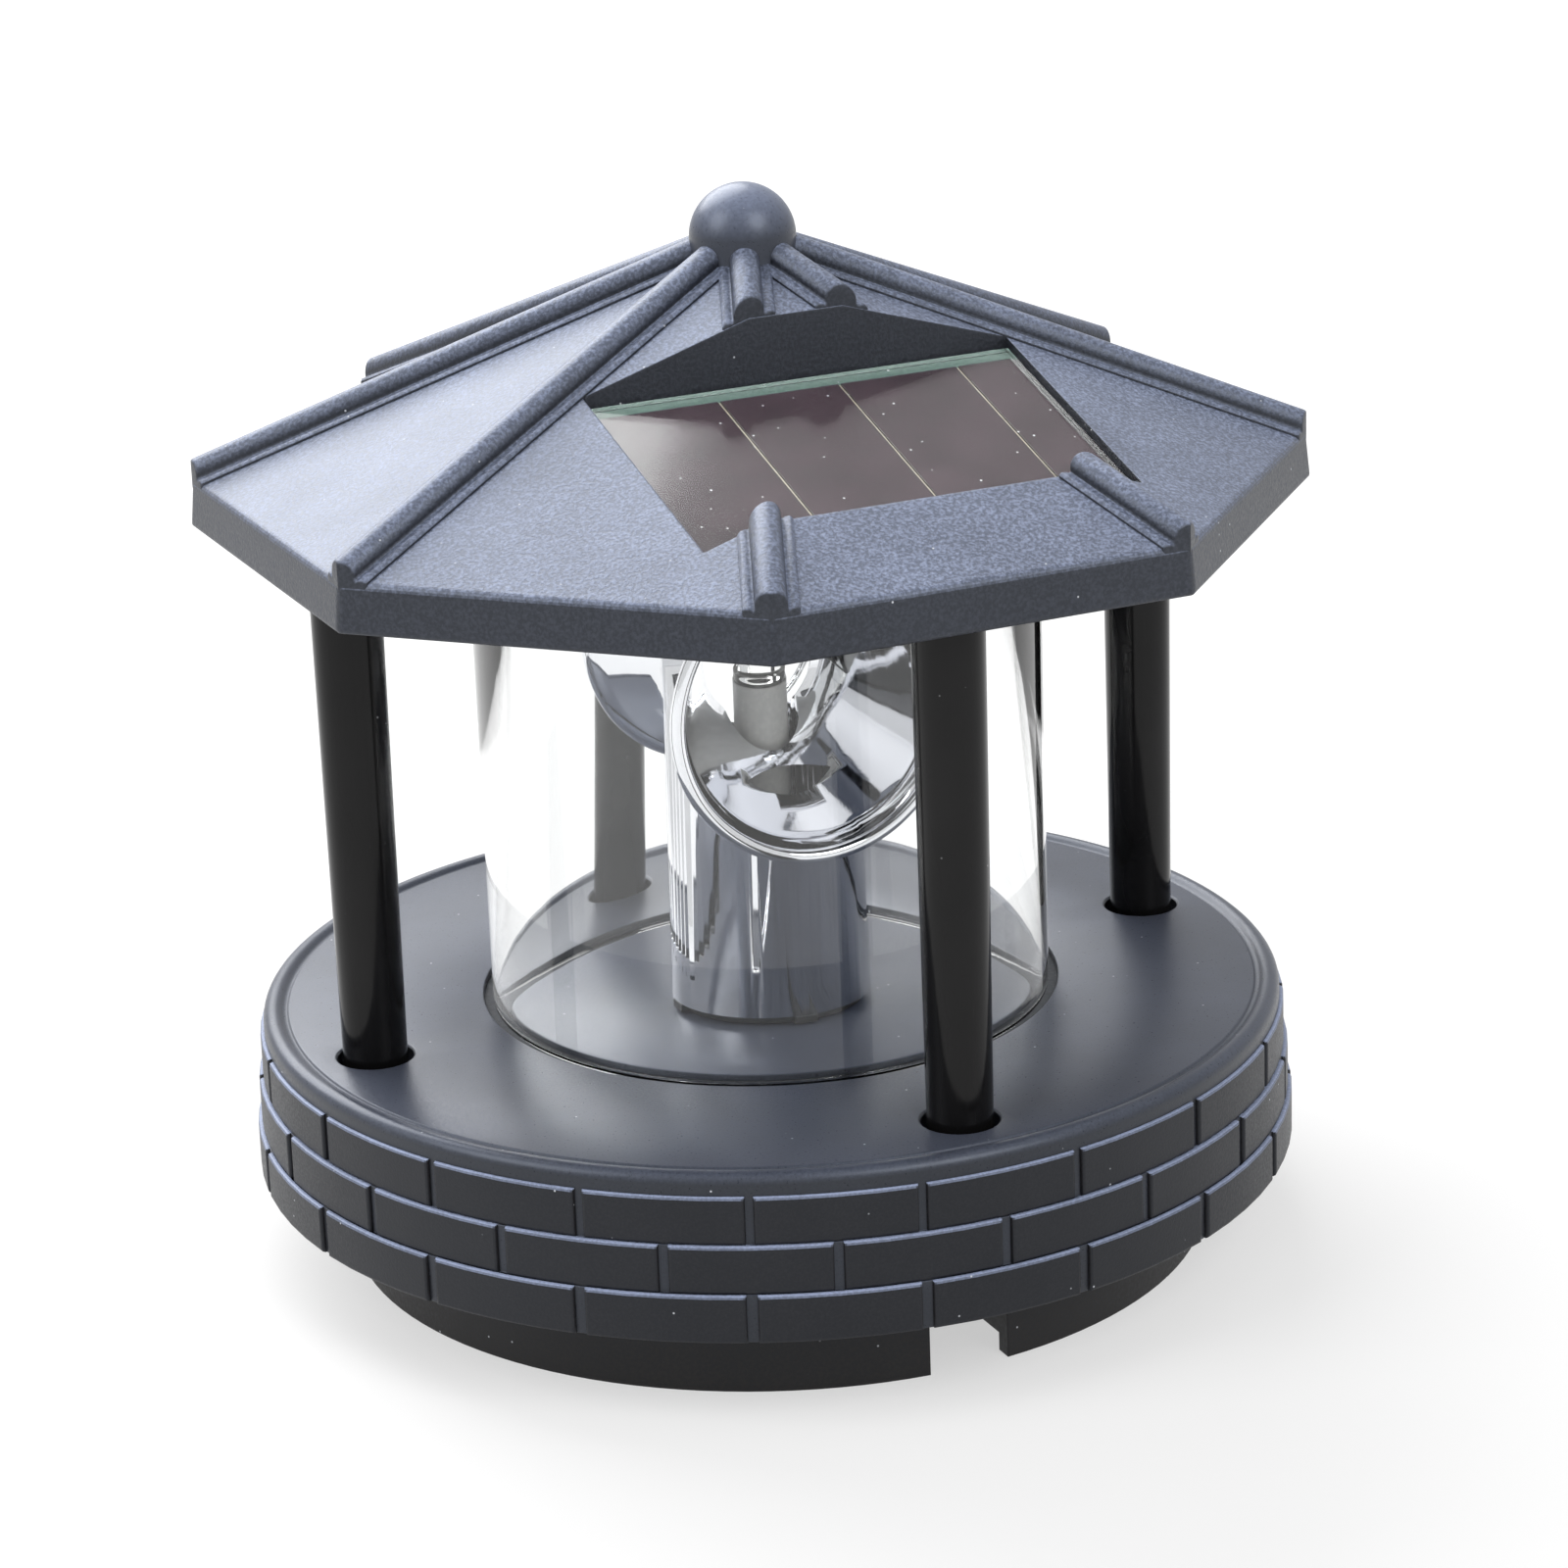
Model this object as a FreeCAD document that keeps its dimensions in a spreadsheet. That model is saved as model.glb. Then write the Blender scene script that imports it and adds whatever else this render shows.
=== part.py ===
"""A garden ornament in the shape of a lighthouse lantern room.

A round brick-patterned base carries four columns and an eight-sided roof with a solar panel.
Inside a clear tube, a double-horned mirror turns round a fixed lamp, driven by a small motor
and a gear train under the deck. Millimetres, +Z up, origin on the axis at the foot of the spigot.
The solar panel faces -Y, and the columns stand on the X and Y axes.
"""

import FreeCAD, Part
import math
import os
import re
import Sketcher
from FreeCAD import Placement, Rotation, Vector

SHEET_NAME = "Sizes"

# Driving dimensions, one spreadsheet cell each: millimetres, degrees or counts.
SIZES = {
    # spigot and bottom cover
    "spigot_inset": 9.8,
    "spigot_height": 10.0,
    "spigot_wall": 2.0,
    "floor_recess": 2.0,
    "floor_thickness": 2.0,
    "flange_thickness": 2.4,
    "flange_clearance": 0.2,
    "key_slot_width": 9.0,
    "key_slot_reach": 11.0,
    "key_slot_wall": 1.5,
    # brick skirt and deck
    "course_count": 3,
    "course_height": 5.2,
    "course_step": 0.45,
    "skirt_radius": 57.3,
    "skirt_wall": 2.4,
    "bricks_per_course": 20,
    "brick_joint_width": 1.15,
    "deck_thickness": 2.0,
    "rim_bead_radius": 1.2,
    "rim_bead_rise": 0.3,
    # columns
    "column_count": 4,
    "column_inset": 10.8,
    "column_top_radius": 3.8,
    "column_foot_radius": 3.4,
    "column_bore": 1.3,
    "column_hole_radius": 4.1,
    "column_hole_depth": 3.6,
    "socket_wall": 1.7,
    "socket_depth": 8.1,
    "socket_floor": 1.5,
    # clear tube
    "lens_radius": 30.7,
    "lens_wall": 1.8,
    "lens_groove_gap": 1.0,
    "lens_groove_depth": 1.2,
    "lens_inner_gap": 1.5,
    "groove_floor": 1.8,
    "gasket_height": 0.5,
    "lens_top_gap": 0.1,
    "lens_lip_height": 1.2,
    "lens_lip_wall": 1.4,
    "lens_lip_gap": 0.3,
    # roof
    "eaves_level": 82.0,
    "eaves_height": 5.1,
    "eaves_overhang": 2.7,
    "fascia_lean": 0.5,
    "hip_slope": 0.4,
    "roof_sides": 8,
    "roof_wall": 2.0,
    "rib_bead_radius": 1.6,
    "rib_bead_rise": 0.9,
    "rib_flange_width": 5.6,
    "rib_flange_rise": 0.25,
    "rib_overhang": 0.35,
    "ceiling_recess": 1.0,
    "ceiling_thickness": 1.6,
    "ceiling_clearance": 0.6,
    "ceiling_socket_rise": 0.5,
    "ceiling_socket_wall": 1.4,
    # finial
    "finial_radius": 5.66,
    "finial_centre_rise": 0.1,
    "finial_seat_depth": 3.4,
    "finial_peg_radius": 2.0,
    "finial_peg_length": 4.0,
    "finial_boss_wall": 1.6,
    # solar panel in its pocket
    "pocket_rear": 12.9,
    "pocket_lip": 12.933,
    "pocket_half_width": 24.2,
    "panel_front_rise": 2.51,
    "panel_slope": 0.308,
    "panel_gap": 0.4,
    "panel_board_thickness": 1.0,
    "panel_cell_thickness": 0.3,
    "panel_glass_thickness": 0.7,
    "tray_wall": 1.5,
    "cell_count": 4,
    "cell_pitch": 13.65,
    "cell_first_edge": -23.5,
    "cell_last_edge": 23.5,
    "cell_gap": 0.35,
    "cell_border": 1.6,
    # mirror, turntable and lamp
    "mirror_hub_radius": 10.7,
    "mirror_wall": 1.0,
    "mirror_web": 2.0,
    "mirror_axis_level": 63.0,
    "horn_length": 17.0,
    "horn_throat_radius": 6.5,
    "horn_mouth_radius": 14.8,
    "horn_rim_radius": 0.8,
    "mirror_turn": -4.0,
    "mirror_cavity_roof": 2.0,
    "post_hole_radius": 4.2,
    "turntable_radius": 9.9,
    "turntable_thickness": 0.8,
    "turntable_gap": 0.3,
    "turntable_lug_width": 2.6,
    "thrust_ring_radius": 8.0,
    "thrust_ring_gap": 0.05,
    "spindle_radius": 5.0,
    "spindle_stub": 2.8,
    "running_clearance": 0.08,
    "post_radius": 3.0,
    "post_bore": 1.5,
    "post_flange_radius": 5.5,
    "post_flange_thickness": 1.0,
    "lamp_radius": 2.5,
    "lamp_rim_radius": 2.9,
    "lamp_rim_height": 1.0,
    "lamp_body_height": 3.6,
    "lamp_drop": 2.6,
    # gear train
    "gear_module": 0.5,
    "pressure_angle": 25.0,
    "tooth_backlash": 0.07,
    "pinion_teeth": 12,
    "idler_large_teeth": 42,
    "idler_small_teeth": 12,
    "mirror_gear_teeth": 50,
    "idler_direction": 180.0,
    "motor_direction": 110.0,
    "lower_gear_width": 2.6,
    "mirror_gear_width": 2.9,
    "gear_layer_gap": 0.7,
    "gear_plate_gap": 0.2,
    "gear_deck_gap": 0.15,
    "mirror_gear_collar": 7.0,
    "idler_axle_radius": 1.5,
    "idler_axle_socket": 0.8,
    # gearbox plate and motor
    "plate_level": 16.9,
    "plate_thickness": 1.5,
    "plate_post_radius": 2.6,
    "plate_post_x": 13.0,
    "plate_post_y": 11.0,
    "plate_post_left": -31.0,
    "plate_post_left_y": -9.0,
    "plate_margin": 3.6,
    "motor_radius": 12.2,
    "motor_height": 12.3,
    "motor_boss_radius": 3.1,
    "motor_boss_height": 1.0,
    "motor_shaft_radius": 1.0,
    "motor_shaft_foot": 1.4,
    "motor_screw_circle": 8.5,
    # battery bay and door
    "battery_radius": 7.25,
    "battery_length": 50.5,
    "battery_end_x": 26.25,
    "battery_y": -22.8,
    "battery_gap": 0.55,
    "battery_nub_radius": 2.6,
    "battery_nub_length": 1.0,
    "bay_side_gap": 0.3,
    "bay_wall": 1.5,
    "bay_wall_height": 10.0,
    "spring_room": 5.0,
    "spring_turns": 4,
    "spring_wire": 0.35,
    "spring_end_room": 0.05,
    "spring_large_radius": 4.2,
    "spring_small_radius": 2.4,
    "contact_thickness": 0.5,
    "contact_size": 11.0,
    "door_gap": 0.2,
    "door_thickness": 1.6,
    "door_pin_radius": 0.6,
    "door_pin_reach": 1.2,
    "door_knuckle_radius": 1.0,
    "door_hinge_inset": 1.35,
    "door_pin_clearance": 0.06,
    "door_rib_width": 0.9,
    "door_rib_drop": 0.5,
    # switch
    "switch_x": 34.0,
    "switch_length": 8.6,
    "switch_width": 4.6,
    "switch_height": 3.6,
    "switch_pocket_height": 1.2,
    "switch_travel": 2.0,
    "switch_knob_length": 2.4,
    "switch_knob_width": 1.8,
    "switch_head_length": 3.0,
    "switch_head_width": 2.6,
    "switch_clearance": 0.15,
    "switch_knob_proud": 1.1,
    # circuit board and leads
    "board_left": -3.0,
    "board_length": 28.0,
    "board_near": 17.0,
    "board_margin": 4.1,
    "board_level": 10.2,
    "board_thickness": 1.6,
    "board_peg_inset": 3.2,
    "board_boss_radius": 2.2,
    "board_peg_radius": 1.0,
    "board_peg_rise": 0.5,
    "chip_length": 4.0,
    "chip_height": 1.4,
    "coil_radius": 2.4,
    "coil_height": 5.0,
    "capacitor_radius": 1.8,
    "capacitor_height": 6.0,
    "lead_radius": 0.9,
    "lead_bend": 2.5,
    "base_lead_bend": 3.3,
    "lead_seat": 3.0,
    "lead_seat_gap": 0.02,
    "panel_lead_reach": 20.0,
    "roof_lead_rise": 3.3,
    "motor_lead_y": 23.0,
    # screws
    "screw_radius": 1.2,
    "screw_head_radius": 2.3,
    "screw_head_height": 1.3,
    "screw_length": 8.0,
    "screw_cross_width": 0.6,
    "screw_cross_length": 2.6,
    "screw_cross_depth": 0.7,
    "cover_screw_inset": 3.5,
    "cover_boss_radius": 3.3,
    "roof_screw_circle": 40.0,
    "roof_boss_radius": 3.0,
    "motor_screw_length": 4.0,
    "motor_screw_radius": 0.9,
    "motor_screw_head": 1.7,
    "motor_screw_head_height": 0.8,
}

# Levels and sizes that follow from the driving ones.
DERIVED = {
    "spigot_radius": "(skirt_radius - spigot_inset)",
    "spigot_inner": "(spigot_radius - spigot_wall)",
    "cover_screw_circle": "(spigot_radius + cover_screw_inset)",
    "column_circle": "(skirt_radius - column_inset)",
    "floor_top": "(floor_recess + floor_thickness)",
    "skirt_inner": "(skirt_radius - (course_count - 1) * course_step - skirt_wall)",
    "rebate_radius": "(skirt_inner + skirt_wall / 3)",
    "flange_radius": "(rebate_radius - flange_clearance)",
    "flange_top": "(spigot_height + flange_thickness)",
    "courses_top": "(spigot_height + course_count * course_height)",
    "deck_level": "(courses_top + deck_thickness)",
    "deck_under": "(deck_level - deck_thickness)",
    "deck_edge": "(skirt_radius - course_count * course_step)",
    "rim_circle": "(deck_edge - rim_bead_radius)",
    "rim_centre": "(deck_level + rim_bead_rise - rim_bead_radius)",
    "socket_radius": "(column_hole_radius + socket_wall)",
    "column_foot": "(deck_under - socket_depth)",
    "socket_low": "(column_foot - socket_floor)",
    "groove_outer": "(lens_radius + lens_groove_gap)",
    "groove_inner": "(lens_radius - lens_wall - lens_inner_gap)",
    "groove_level": "(deck_level - lens_groove_depth)",
    "lens_low": "(groove_level + gasket_height)",
    "ceiling_low": "(eaves_level + ceiling_recess)",
    "ceiling_top": "(ceiling_low + ceiling_thickness)",
    "column_top": "(ceiling_top + ceiling_socket_rise)",
    "eaves_top": "(eaves_level + eaves_height)",
    "eaves_corner_low": "(skirt_radius + eaves_overhang)",
    "eaves_corner_high": "(eaves_corner_low - fascia_lean)",
    "roof_apex": "(eaves_top + hip_slope * eaves_corner_high)",
    "side_half_angle": "(180 / roof_sides)",
    "facet_slope": "(hip_slope / cos(side_half_angle))",
    "wall_in_plan": "(roof_wall / cos(side_half_angle))",
    "wall_in_height": "(roof_wall * sqrt(1 + facet_slope * facet_slope))",
    "inner_corner_low": "(eaves_corner_low - wall_in_plan)",
    "inner_corner_high": "(eaves_corner_high - wall_in_plan)",
    "finial_centre": "(roof_apex + finial_centre_rise)",
    "roof_lead_level": "(ceiling_top + roof_lead_rise)",
    "inner_apex": "(roof_apex - wall_in_height)",
    "inner_eaves_top": "(inner_apex - hip_slope * inner_corner_high)",
    "pocket_front": "(eaves_corner_low * cos(side_half_angle) - pocket_lip)",
    "panel_height_at_axis": "(eaves_top + panel_front_rise + panel_slope * pocket_front)",
    "panel_thickness": "(panel_board_thickness + panel_cell_thickness + panel_glass_thickness)",
    "panel_lean": "(panel_thickness * panel_slope / sqrt(1 + panel_slope * panel_slope))",
    "panel_middle": "((pocket_front + pocket_rear + panel_lean) / 2)",
    "panel_reach": "(pocket_front - pocket_rear - panel_lean - panel_gap)",
    "panel_length": "(panel_reach * sqrt(1 + panel_slope * panel_slope))",
    "panel_drop": "(panel_thickness * sqrt(1 + panel_slope * panel_slope))",
    "tray_drop": "(panel_drop + tray_wall)",
    "turntable_low": "(deck_level + turntable_gap)",
    "turntable_top": "(turntable_low + turntable_thickness)",
    "throat_outer": "(horn_throat_radius + mirror_wall)",
    "mouth_outer": "(horn_mouth_radius + mirror_wall)",
    "cavity_top": "(mirror_axis_level - throat_outer - mirror_cavity_roof)",
    "lamp_foot": "(mirror_axis_level - lamp_drop)",
    "plate_top": "(plate_level + plate_thickness)",
    "lower_gear_low": "(plate_top + gear_plate_gap)",
    "lower_gear_top": "(lower_gear_low + lower_gear_width)",
    "mirror_gear_low": "(lower_gear_top + gear_layer_gap)",
    "mirror_gear_top": "(mirror_gear_low + mirror_gear_width)",
    "idler_distance": "(gear_module * (mirror_gear_teeth + idler_small_teeth) / 2)",
    "motor_distance": "(gear_module * (idler_large_teeth + pinion_teeth) / 2)",
    "idler_x": "(idler_distance * cos(idler_direction))",
    "idler_y": "(idler_distance * sin(idler_direction))",
    "motor_x": "(idler_x + motor_distance * cos(motor_direction))",
    "motor_y": "(idler_y + motor_distance * sin(motor_direction))",
    "motor_low": "(plate_level - motor_height)",
    "battery_start_x": "(battery_end_x - battery_length)",
    "bay_right": "(battery_end_x + contact_thickness)",
    "bay_left": "(battery_start_x - spring_room - contact_thickness)",
    "bay_half_width": "(battery_radius + bay_side_gap)",
    "door_half_width": "(bay_half_width - door_gap)",
    "battery_axis": "(floor_recess + door_thickness + battery_gap + battery_radius)",
    "door_hinge_x": "(bay_right - door_hinge_inset)",
    "door_hinge_level": "(floor_recess + door_knuckle_radius)",
    "switch_slot_half": "((switch_travel + switch_knob_length) / 2 + switch_clearance)",
    "board_right": "(board_left + board_length)",
    "board_corner": "(spigot_inner - board_margin)",
    "board_depth": "(sqrt(board_corner * board_corner - board_right * board_right) - board_near)",
    "board_top": "(board_level + board_thickness)",
    "lead_on_board": "(board_top + lead_radius)",
}

document = FreeCAD.newDocument("lighthouse_lantern")
sheet = document.addObject("Spreadsheet::Sheet", SHEET_NAME)
pieces = {}


def fill_sheet():
    """Writes each driving dimension into its own cell, under its own name."""
    for row, (name, value) in enumerate(SIZES.items(), start=1):
        sheet.set(f"A{row}", name)
        sheet.set(f"B{row}", str(value))
        sheet.setAlias(f"B{row}", name)
    document.recompute()


def bound(text):
    """The sheet expression for a text written with the names of sizes and derived levels."""
    names = re.compile(r"[a-z]\w+")
    expanded = names.sub(lambda m: DERIVED.get(m.group(), m.group()), text)
    while expanded != text:
        text = expanded
        expanded = names.sub(lambda m: DERIVED.get(m.group(), m.group()), text)
    return names.sub(lambda m: f"{SHEET_NAME}.{m.group()}" if m.group() in SIZES else m.group(), text)


def number(text):
    """The present value of a text written with the names of sizes."""
    result = sheet.evalExpression(bound(text))
    return float(getattr(result, "Value", result))


def place(item, x="0", y="0", z="0", axis=None, angle=None):
    """Binds an object's position, and its turn about an axis."""
    if axis:
        item.Placement = Placement(Vector(), Rotation(Vector(*axis), 10))
        item.setExpression("Placement.Rotation.Angle", bound(angle))
    for letter, text in (("x", x), ("y", y), ("z", z)):
        item.setExpression(f"Placement.Base.{letter}", bound(text))
    return item


def primitive(kind, name, sizes, **where):
    """One of the Part primitives, with its sizes and its place bound to the sheet."""
    item = document.addObject(f"Part::{kind}", name)
    for size, text in sizes.items():
        item.setExpression(size, bound(text))
    return place(item, **where)


def cylinder(name, radius, low, high, **where):
    """An upright cylinder between two levels."""
    return primitive("Cylinder", name, {"Radius": radius, "Height": f"{high} - ({low})"}, z=low, **where)


def block(name, x_low, x_high, y_low, y_high, z_low, z_high):
    """A box between two corners."""
    sides = {
        "Length": f"{x_high} - ({x_low})",
        "Width": f"{y_high} - ({y_low})",
        "Height": f"{z_high} - ({z_low})",
    }
    return primitive("Box", name, sides, x=x_low, y=y_low, z=z_low)


def drawn_body(name, plane, points):
    """A body with a closed outline of bound points on one of its own planes."""
    body = document.addObject("PartDesign::Body", name)
    sketch = body.newObject("Sketcher::SketchObject", f"{name}_outline")
    support = next(f for f in body.Origin.OriginFeatures if f.Role == plane)
    sketch.AttachmentSupport = [(support, "")]
    sketch.MapMode = "FlatFace"
    corners = [Vector(number(across), number(up), 0) for across, up in points]
    for index, corner in enumerate(corners):
        sketch.addGeometry(Part.LineSegment(corner, corners[(index + 1) % len(corners)]))
    for index, corner in enumerate(corners):
        sketch.addConstraint(Sketcher.Constraint("Coincident", index, 2, (index + 1) % len(corners), 1))
        for kind, place_now, text in zip(("DistanceX", "DistanceY"), corner, points[index]):
            dimension = sketch.addConstraint(Sketcher.Constraint(kind, index, 1, place_now))
            sketch.setExpression(f"Constraints[{dimension}]", bound(text))
    return body, sketch


def turned(name, points):
    """A turned piece: an outline of (radius, height) points, revolved about the vertical axis."""
    body, sketch = drawn_body(name, "XZ_Plane", points)
    revolution = body.newObject("PartDesign::Revolution", f"{name}_turned")
    revolution.Profile = sketch
    revolution.ReferenceAxis = (sketch, ["V_Axis"])
    revolution.Angle = 360
    return body


def flat_plate(name, points, low, thickness):
    """A plate with an outline of (x, y) points, padded up from a level."""
    body, sketch = drawn_body(name, "XY_Plane", points)
    sketch.setExpression("AttachmentOffset.Base.z", bound(low))
    pad = body.newObject("PartDesign::Pad", f"{name}_pad")
    pad.Profile = sketch
    pad.setExpression("Length", bound(thickness))
    return body


def side_prism(name, points, width):
    """A prism with an outline of (y, z) points, as wide on each side of the middle plane."""
    body, sketch = drawn_body(name, "YZ_Plane", points)
    pad = body.newObject("PartDesign::Pad", f"{name}_pad")
    pad.Profile = sketch
    pad.Midplane = True
    pad.setExpression("Length", bound(width))
    return body


def ring_of(source, count, first="0"):
    """Copies of an object, evenly spaced round the vertical axis."""
    links = []
    for index in range(int(number(count))):
        link = document.addObject("App::Link", f"{source.Name}_copy_{index}")
        link.LinkedObject = source
        link.LinkTransform = True
        links.append(place(link, axis=(0, 0, 1), angle=f"{first} + {index} * 360 / {count}"))
    return links


def copies_at(source, spots):
    """Copies of an object, moved by each (x, y, z)."""
    links = []
    for index, (x, y, z) in enumerate(spots):
        link = document.addObject("App::Link", f"{source.Name}_at_{index}")
        link.LinkedObject = source
        link.LinkTransform = True
        links.append(place(link, x, y, z))
    return links


def joined(name, *shapes):
    """The union of several shapes."""
    item = document.addObject("Part::MultiFuse", name)
    item.Shapes = list(shapes)
    item.Refine = True
    return item


def group(name, *shapes):
    """Separate solids kept together in one object."""
    item = document.addObject("Part::Compound", name)
    item.Links = list(shapes)
    return item


def cut(name, base, *tools):
    """A shape with other shapes taken out of it."""
    item = document.addObject("Part::Cut", name)
    item.Base = base
    item.Tool = tools[0] if len(tools) == 1 else group(f"{name}_tools", *tools)
    item.Refine = True
    return item


def shared(name, *shapes):
    """What several shapes have in common."""
    item = document.addObject("Part::MultiCommon", name)
    item.Shapes = list(shapes)
    return item


def node(name, item, solids=1):
    """Names a finished sub-part, and says of how many separate solids it is."""
    item.Label = name
    pieces[name] = (item, solids)
    return item


def octagon(name, corner_radius, level):
    """An eight-sided outline with a side, not a corner, facing -Y."""
    item = document.addObject("Part::RegularPolygon", name)
    item.Polygon = int(number("roof_sides"))
    item.setExpression("Circumradius", bound(corner_radius))
    return place(item, z=level, axis=(0, 0, 1), angle="side_half_angle")


def lofted(name, *sections):
    """A solid with flat faces through a stack of outlines."""
    item = document.addObject("Part::Loft", name)
    item.Sections = list(sections)
    item.Solid = True
    item.Ruled = True
    return item


# ---------------------------------------------------------------- base

COLUMN_NAMES = ("right", "back", "left", "front")
PLATE_POSTS = (
    ("plate_post_x", "plate_post_y"),
    ("plate_post_x", "-plate_post_y"),
    ("plate_post_left", "plate_post_left_y"),
)


def make_base_housing():
    """The deck and the brick skirt in one moulding, with its sockets, bosses and posts."""
    radii = [f"skirt_radius - {k} * course_step" for k in range(int(number("course_count")))]
    outline = []
    for index, radius in enumerate(radii):
        outline.append((radius, f"spigot_height + {index} * course_height"))
        outline.append((radius, f"spigot_height + {index + 1} * course_height"))
    outline += [
        ("deck_edge", "courses_top"),
        ("deck_edge", "rim_centre"),
        ("rim_circle", "rim_centre"),
        ("rim_circle", "deck_level"),
        ("groove_outer", "deck_level"),
        ("groove_outer", "groove_level"),
        ("groove_inner", "groove_level"),
        ("groove_inner", "deck_level"),
        ("thrust_ring_radius", "deck_level"),
        ("thrust_ring_radius", "turntable_low - thrust_ring_gap"),
        ("spindle_radius + running_clearance", "turntable_low - thrust_ring_gap"),
        ("spindle_radius + running_clearance", "deck_under"),
        ("groove_inner - lens_wall", "deck_under"),
        ("groove_inner - lens_wall", "groove_level - groove_floor"),
        ("groove_outer + lens_wall", "groove_level - groove_floor"),
        ("groove_outer + lens_wall", "deck_under"),
        ("skirt_inner", "deck_under"),
        ("skirt_inner", "flange_top"),
        ("rebate_radius", "flange_top"),
        ("rebate_radius", "spigot_height"),
    ]
    shell = turned("deck_and_skirt", outline)
    bead = primitive(
        "Torus", "rim_bead", {"Radius1": "rim_circle", "Radius2": "rim_bead_radius"}, z="rim_centre"
    )
    socket = cylinder("column_socket", "socket_radius", "socket_low", "deck_under", x="column_circle")
    cover_boss = cylinder(
        "cover_boss", "cover_boss_radius", "flange_top", "deck_under", x="cover_screw_circle"
    )
    posts = [
        cylinder(f"plate_post_{k}", "plate_post_radius", "plate_top", "deck_under", x=x, y=y)
        for k, (x, y) in enumerate(PLATE_POSTS)
    ]
    solid = joined(
        "housing_solid",
        shell,
        bead,
        *ring_of(socket, "column_count"),
        *ring_of(cover_boss, "4", "45"),
        *posts,
    )

    tools = []
    for index in range(int(number("course_count"))):
        outer = f"skirt_radius - {index} * course_step"
        joint = block(
            f"brick_joint_{index}",
            f"{outer} - course_step",
            f"{outer} + 1",
            "-brick_joint_width / 2",
            "brick_joint_width / 2",
            f"spigot_height + {index} * course_height",
            f"spigot_height + {index + 1} * course_height",
        )
        first = f"{(index + 1) % 2} * 180 / bricks_per_course"
        tools += ring_of(joint, "bricks_per_course", first)
    hole = cylinder(
        "column_hole", "column_hole_radius", "deck_level - column_hole_depth", "deck_level + 1",
        x="column_circle",
    )
    seat = cylinder(
        "column_seat", "column_foot_radius + running_clearance", "column_foot", "deck_level",
        x="column_circle",
    )
    floor_hole = cylinder(
        "socket_hole", "column_bore", "socket_low - 1", "column_foot + 1", x="column_circle"
    )
    pilot = cylinder(
        "cover_pilot", "screw_radius", "flange_top - 1",
        "spigot_height + screw_head_height + screw_length", x="cover_screw_circle",
    )
    for tool in (hole, seat, floor_hole):
        tools += ring_of(tool, "column_count")
    tools += ring_of(pilot, "4", "45")
    tools += [
        cylinder(f"post_pilot_{k}", "screw_radius", "plate_top - 1", "deck_under - 0.5", x=x, y=y)
        for k, (x, y) in enumerate(PLATE_POSTS)
    ]
    tools.append(
        cylinder(
            "axle_socket", "idler_axle_radius", "deck_under - 1", "deck_under + idler_axle_socket",
            x="idler_x", y="idler_y",
        )
    )
    node("base_housing", cut("base_housing", solid, *tools))


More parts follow.
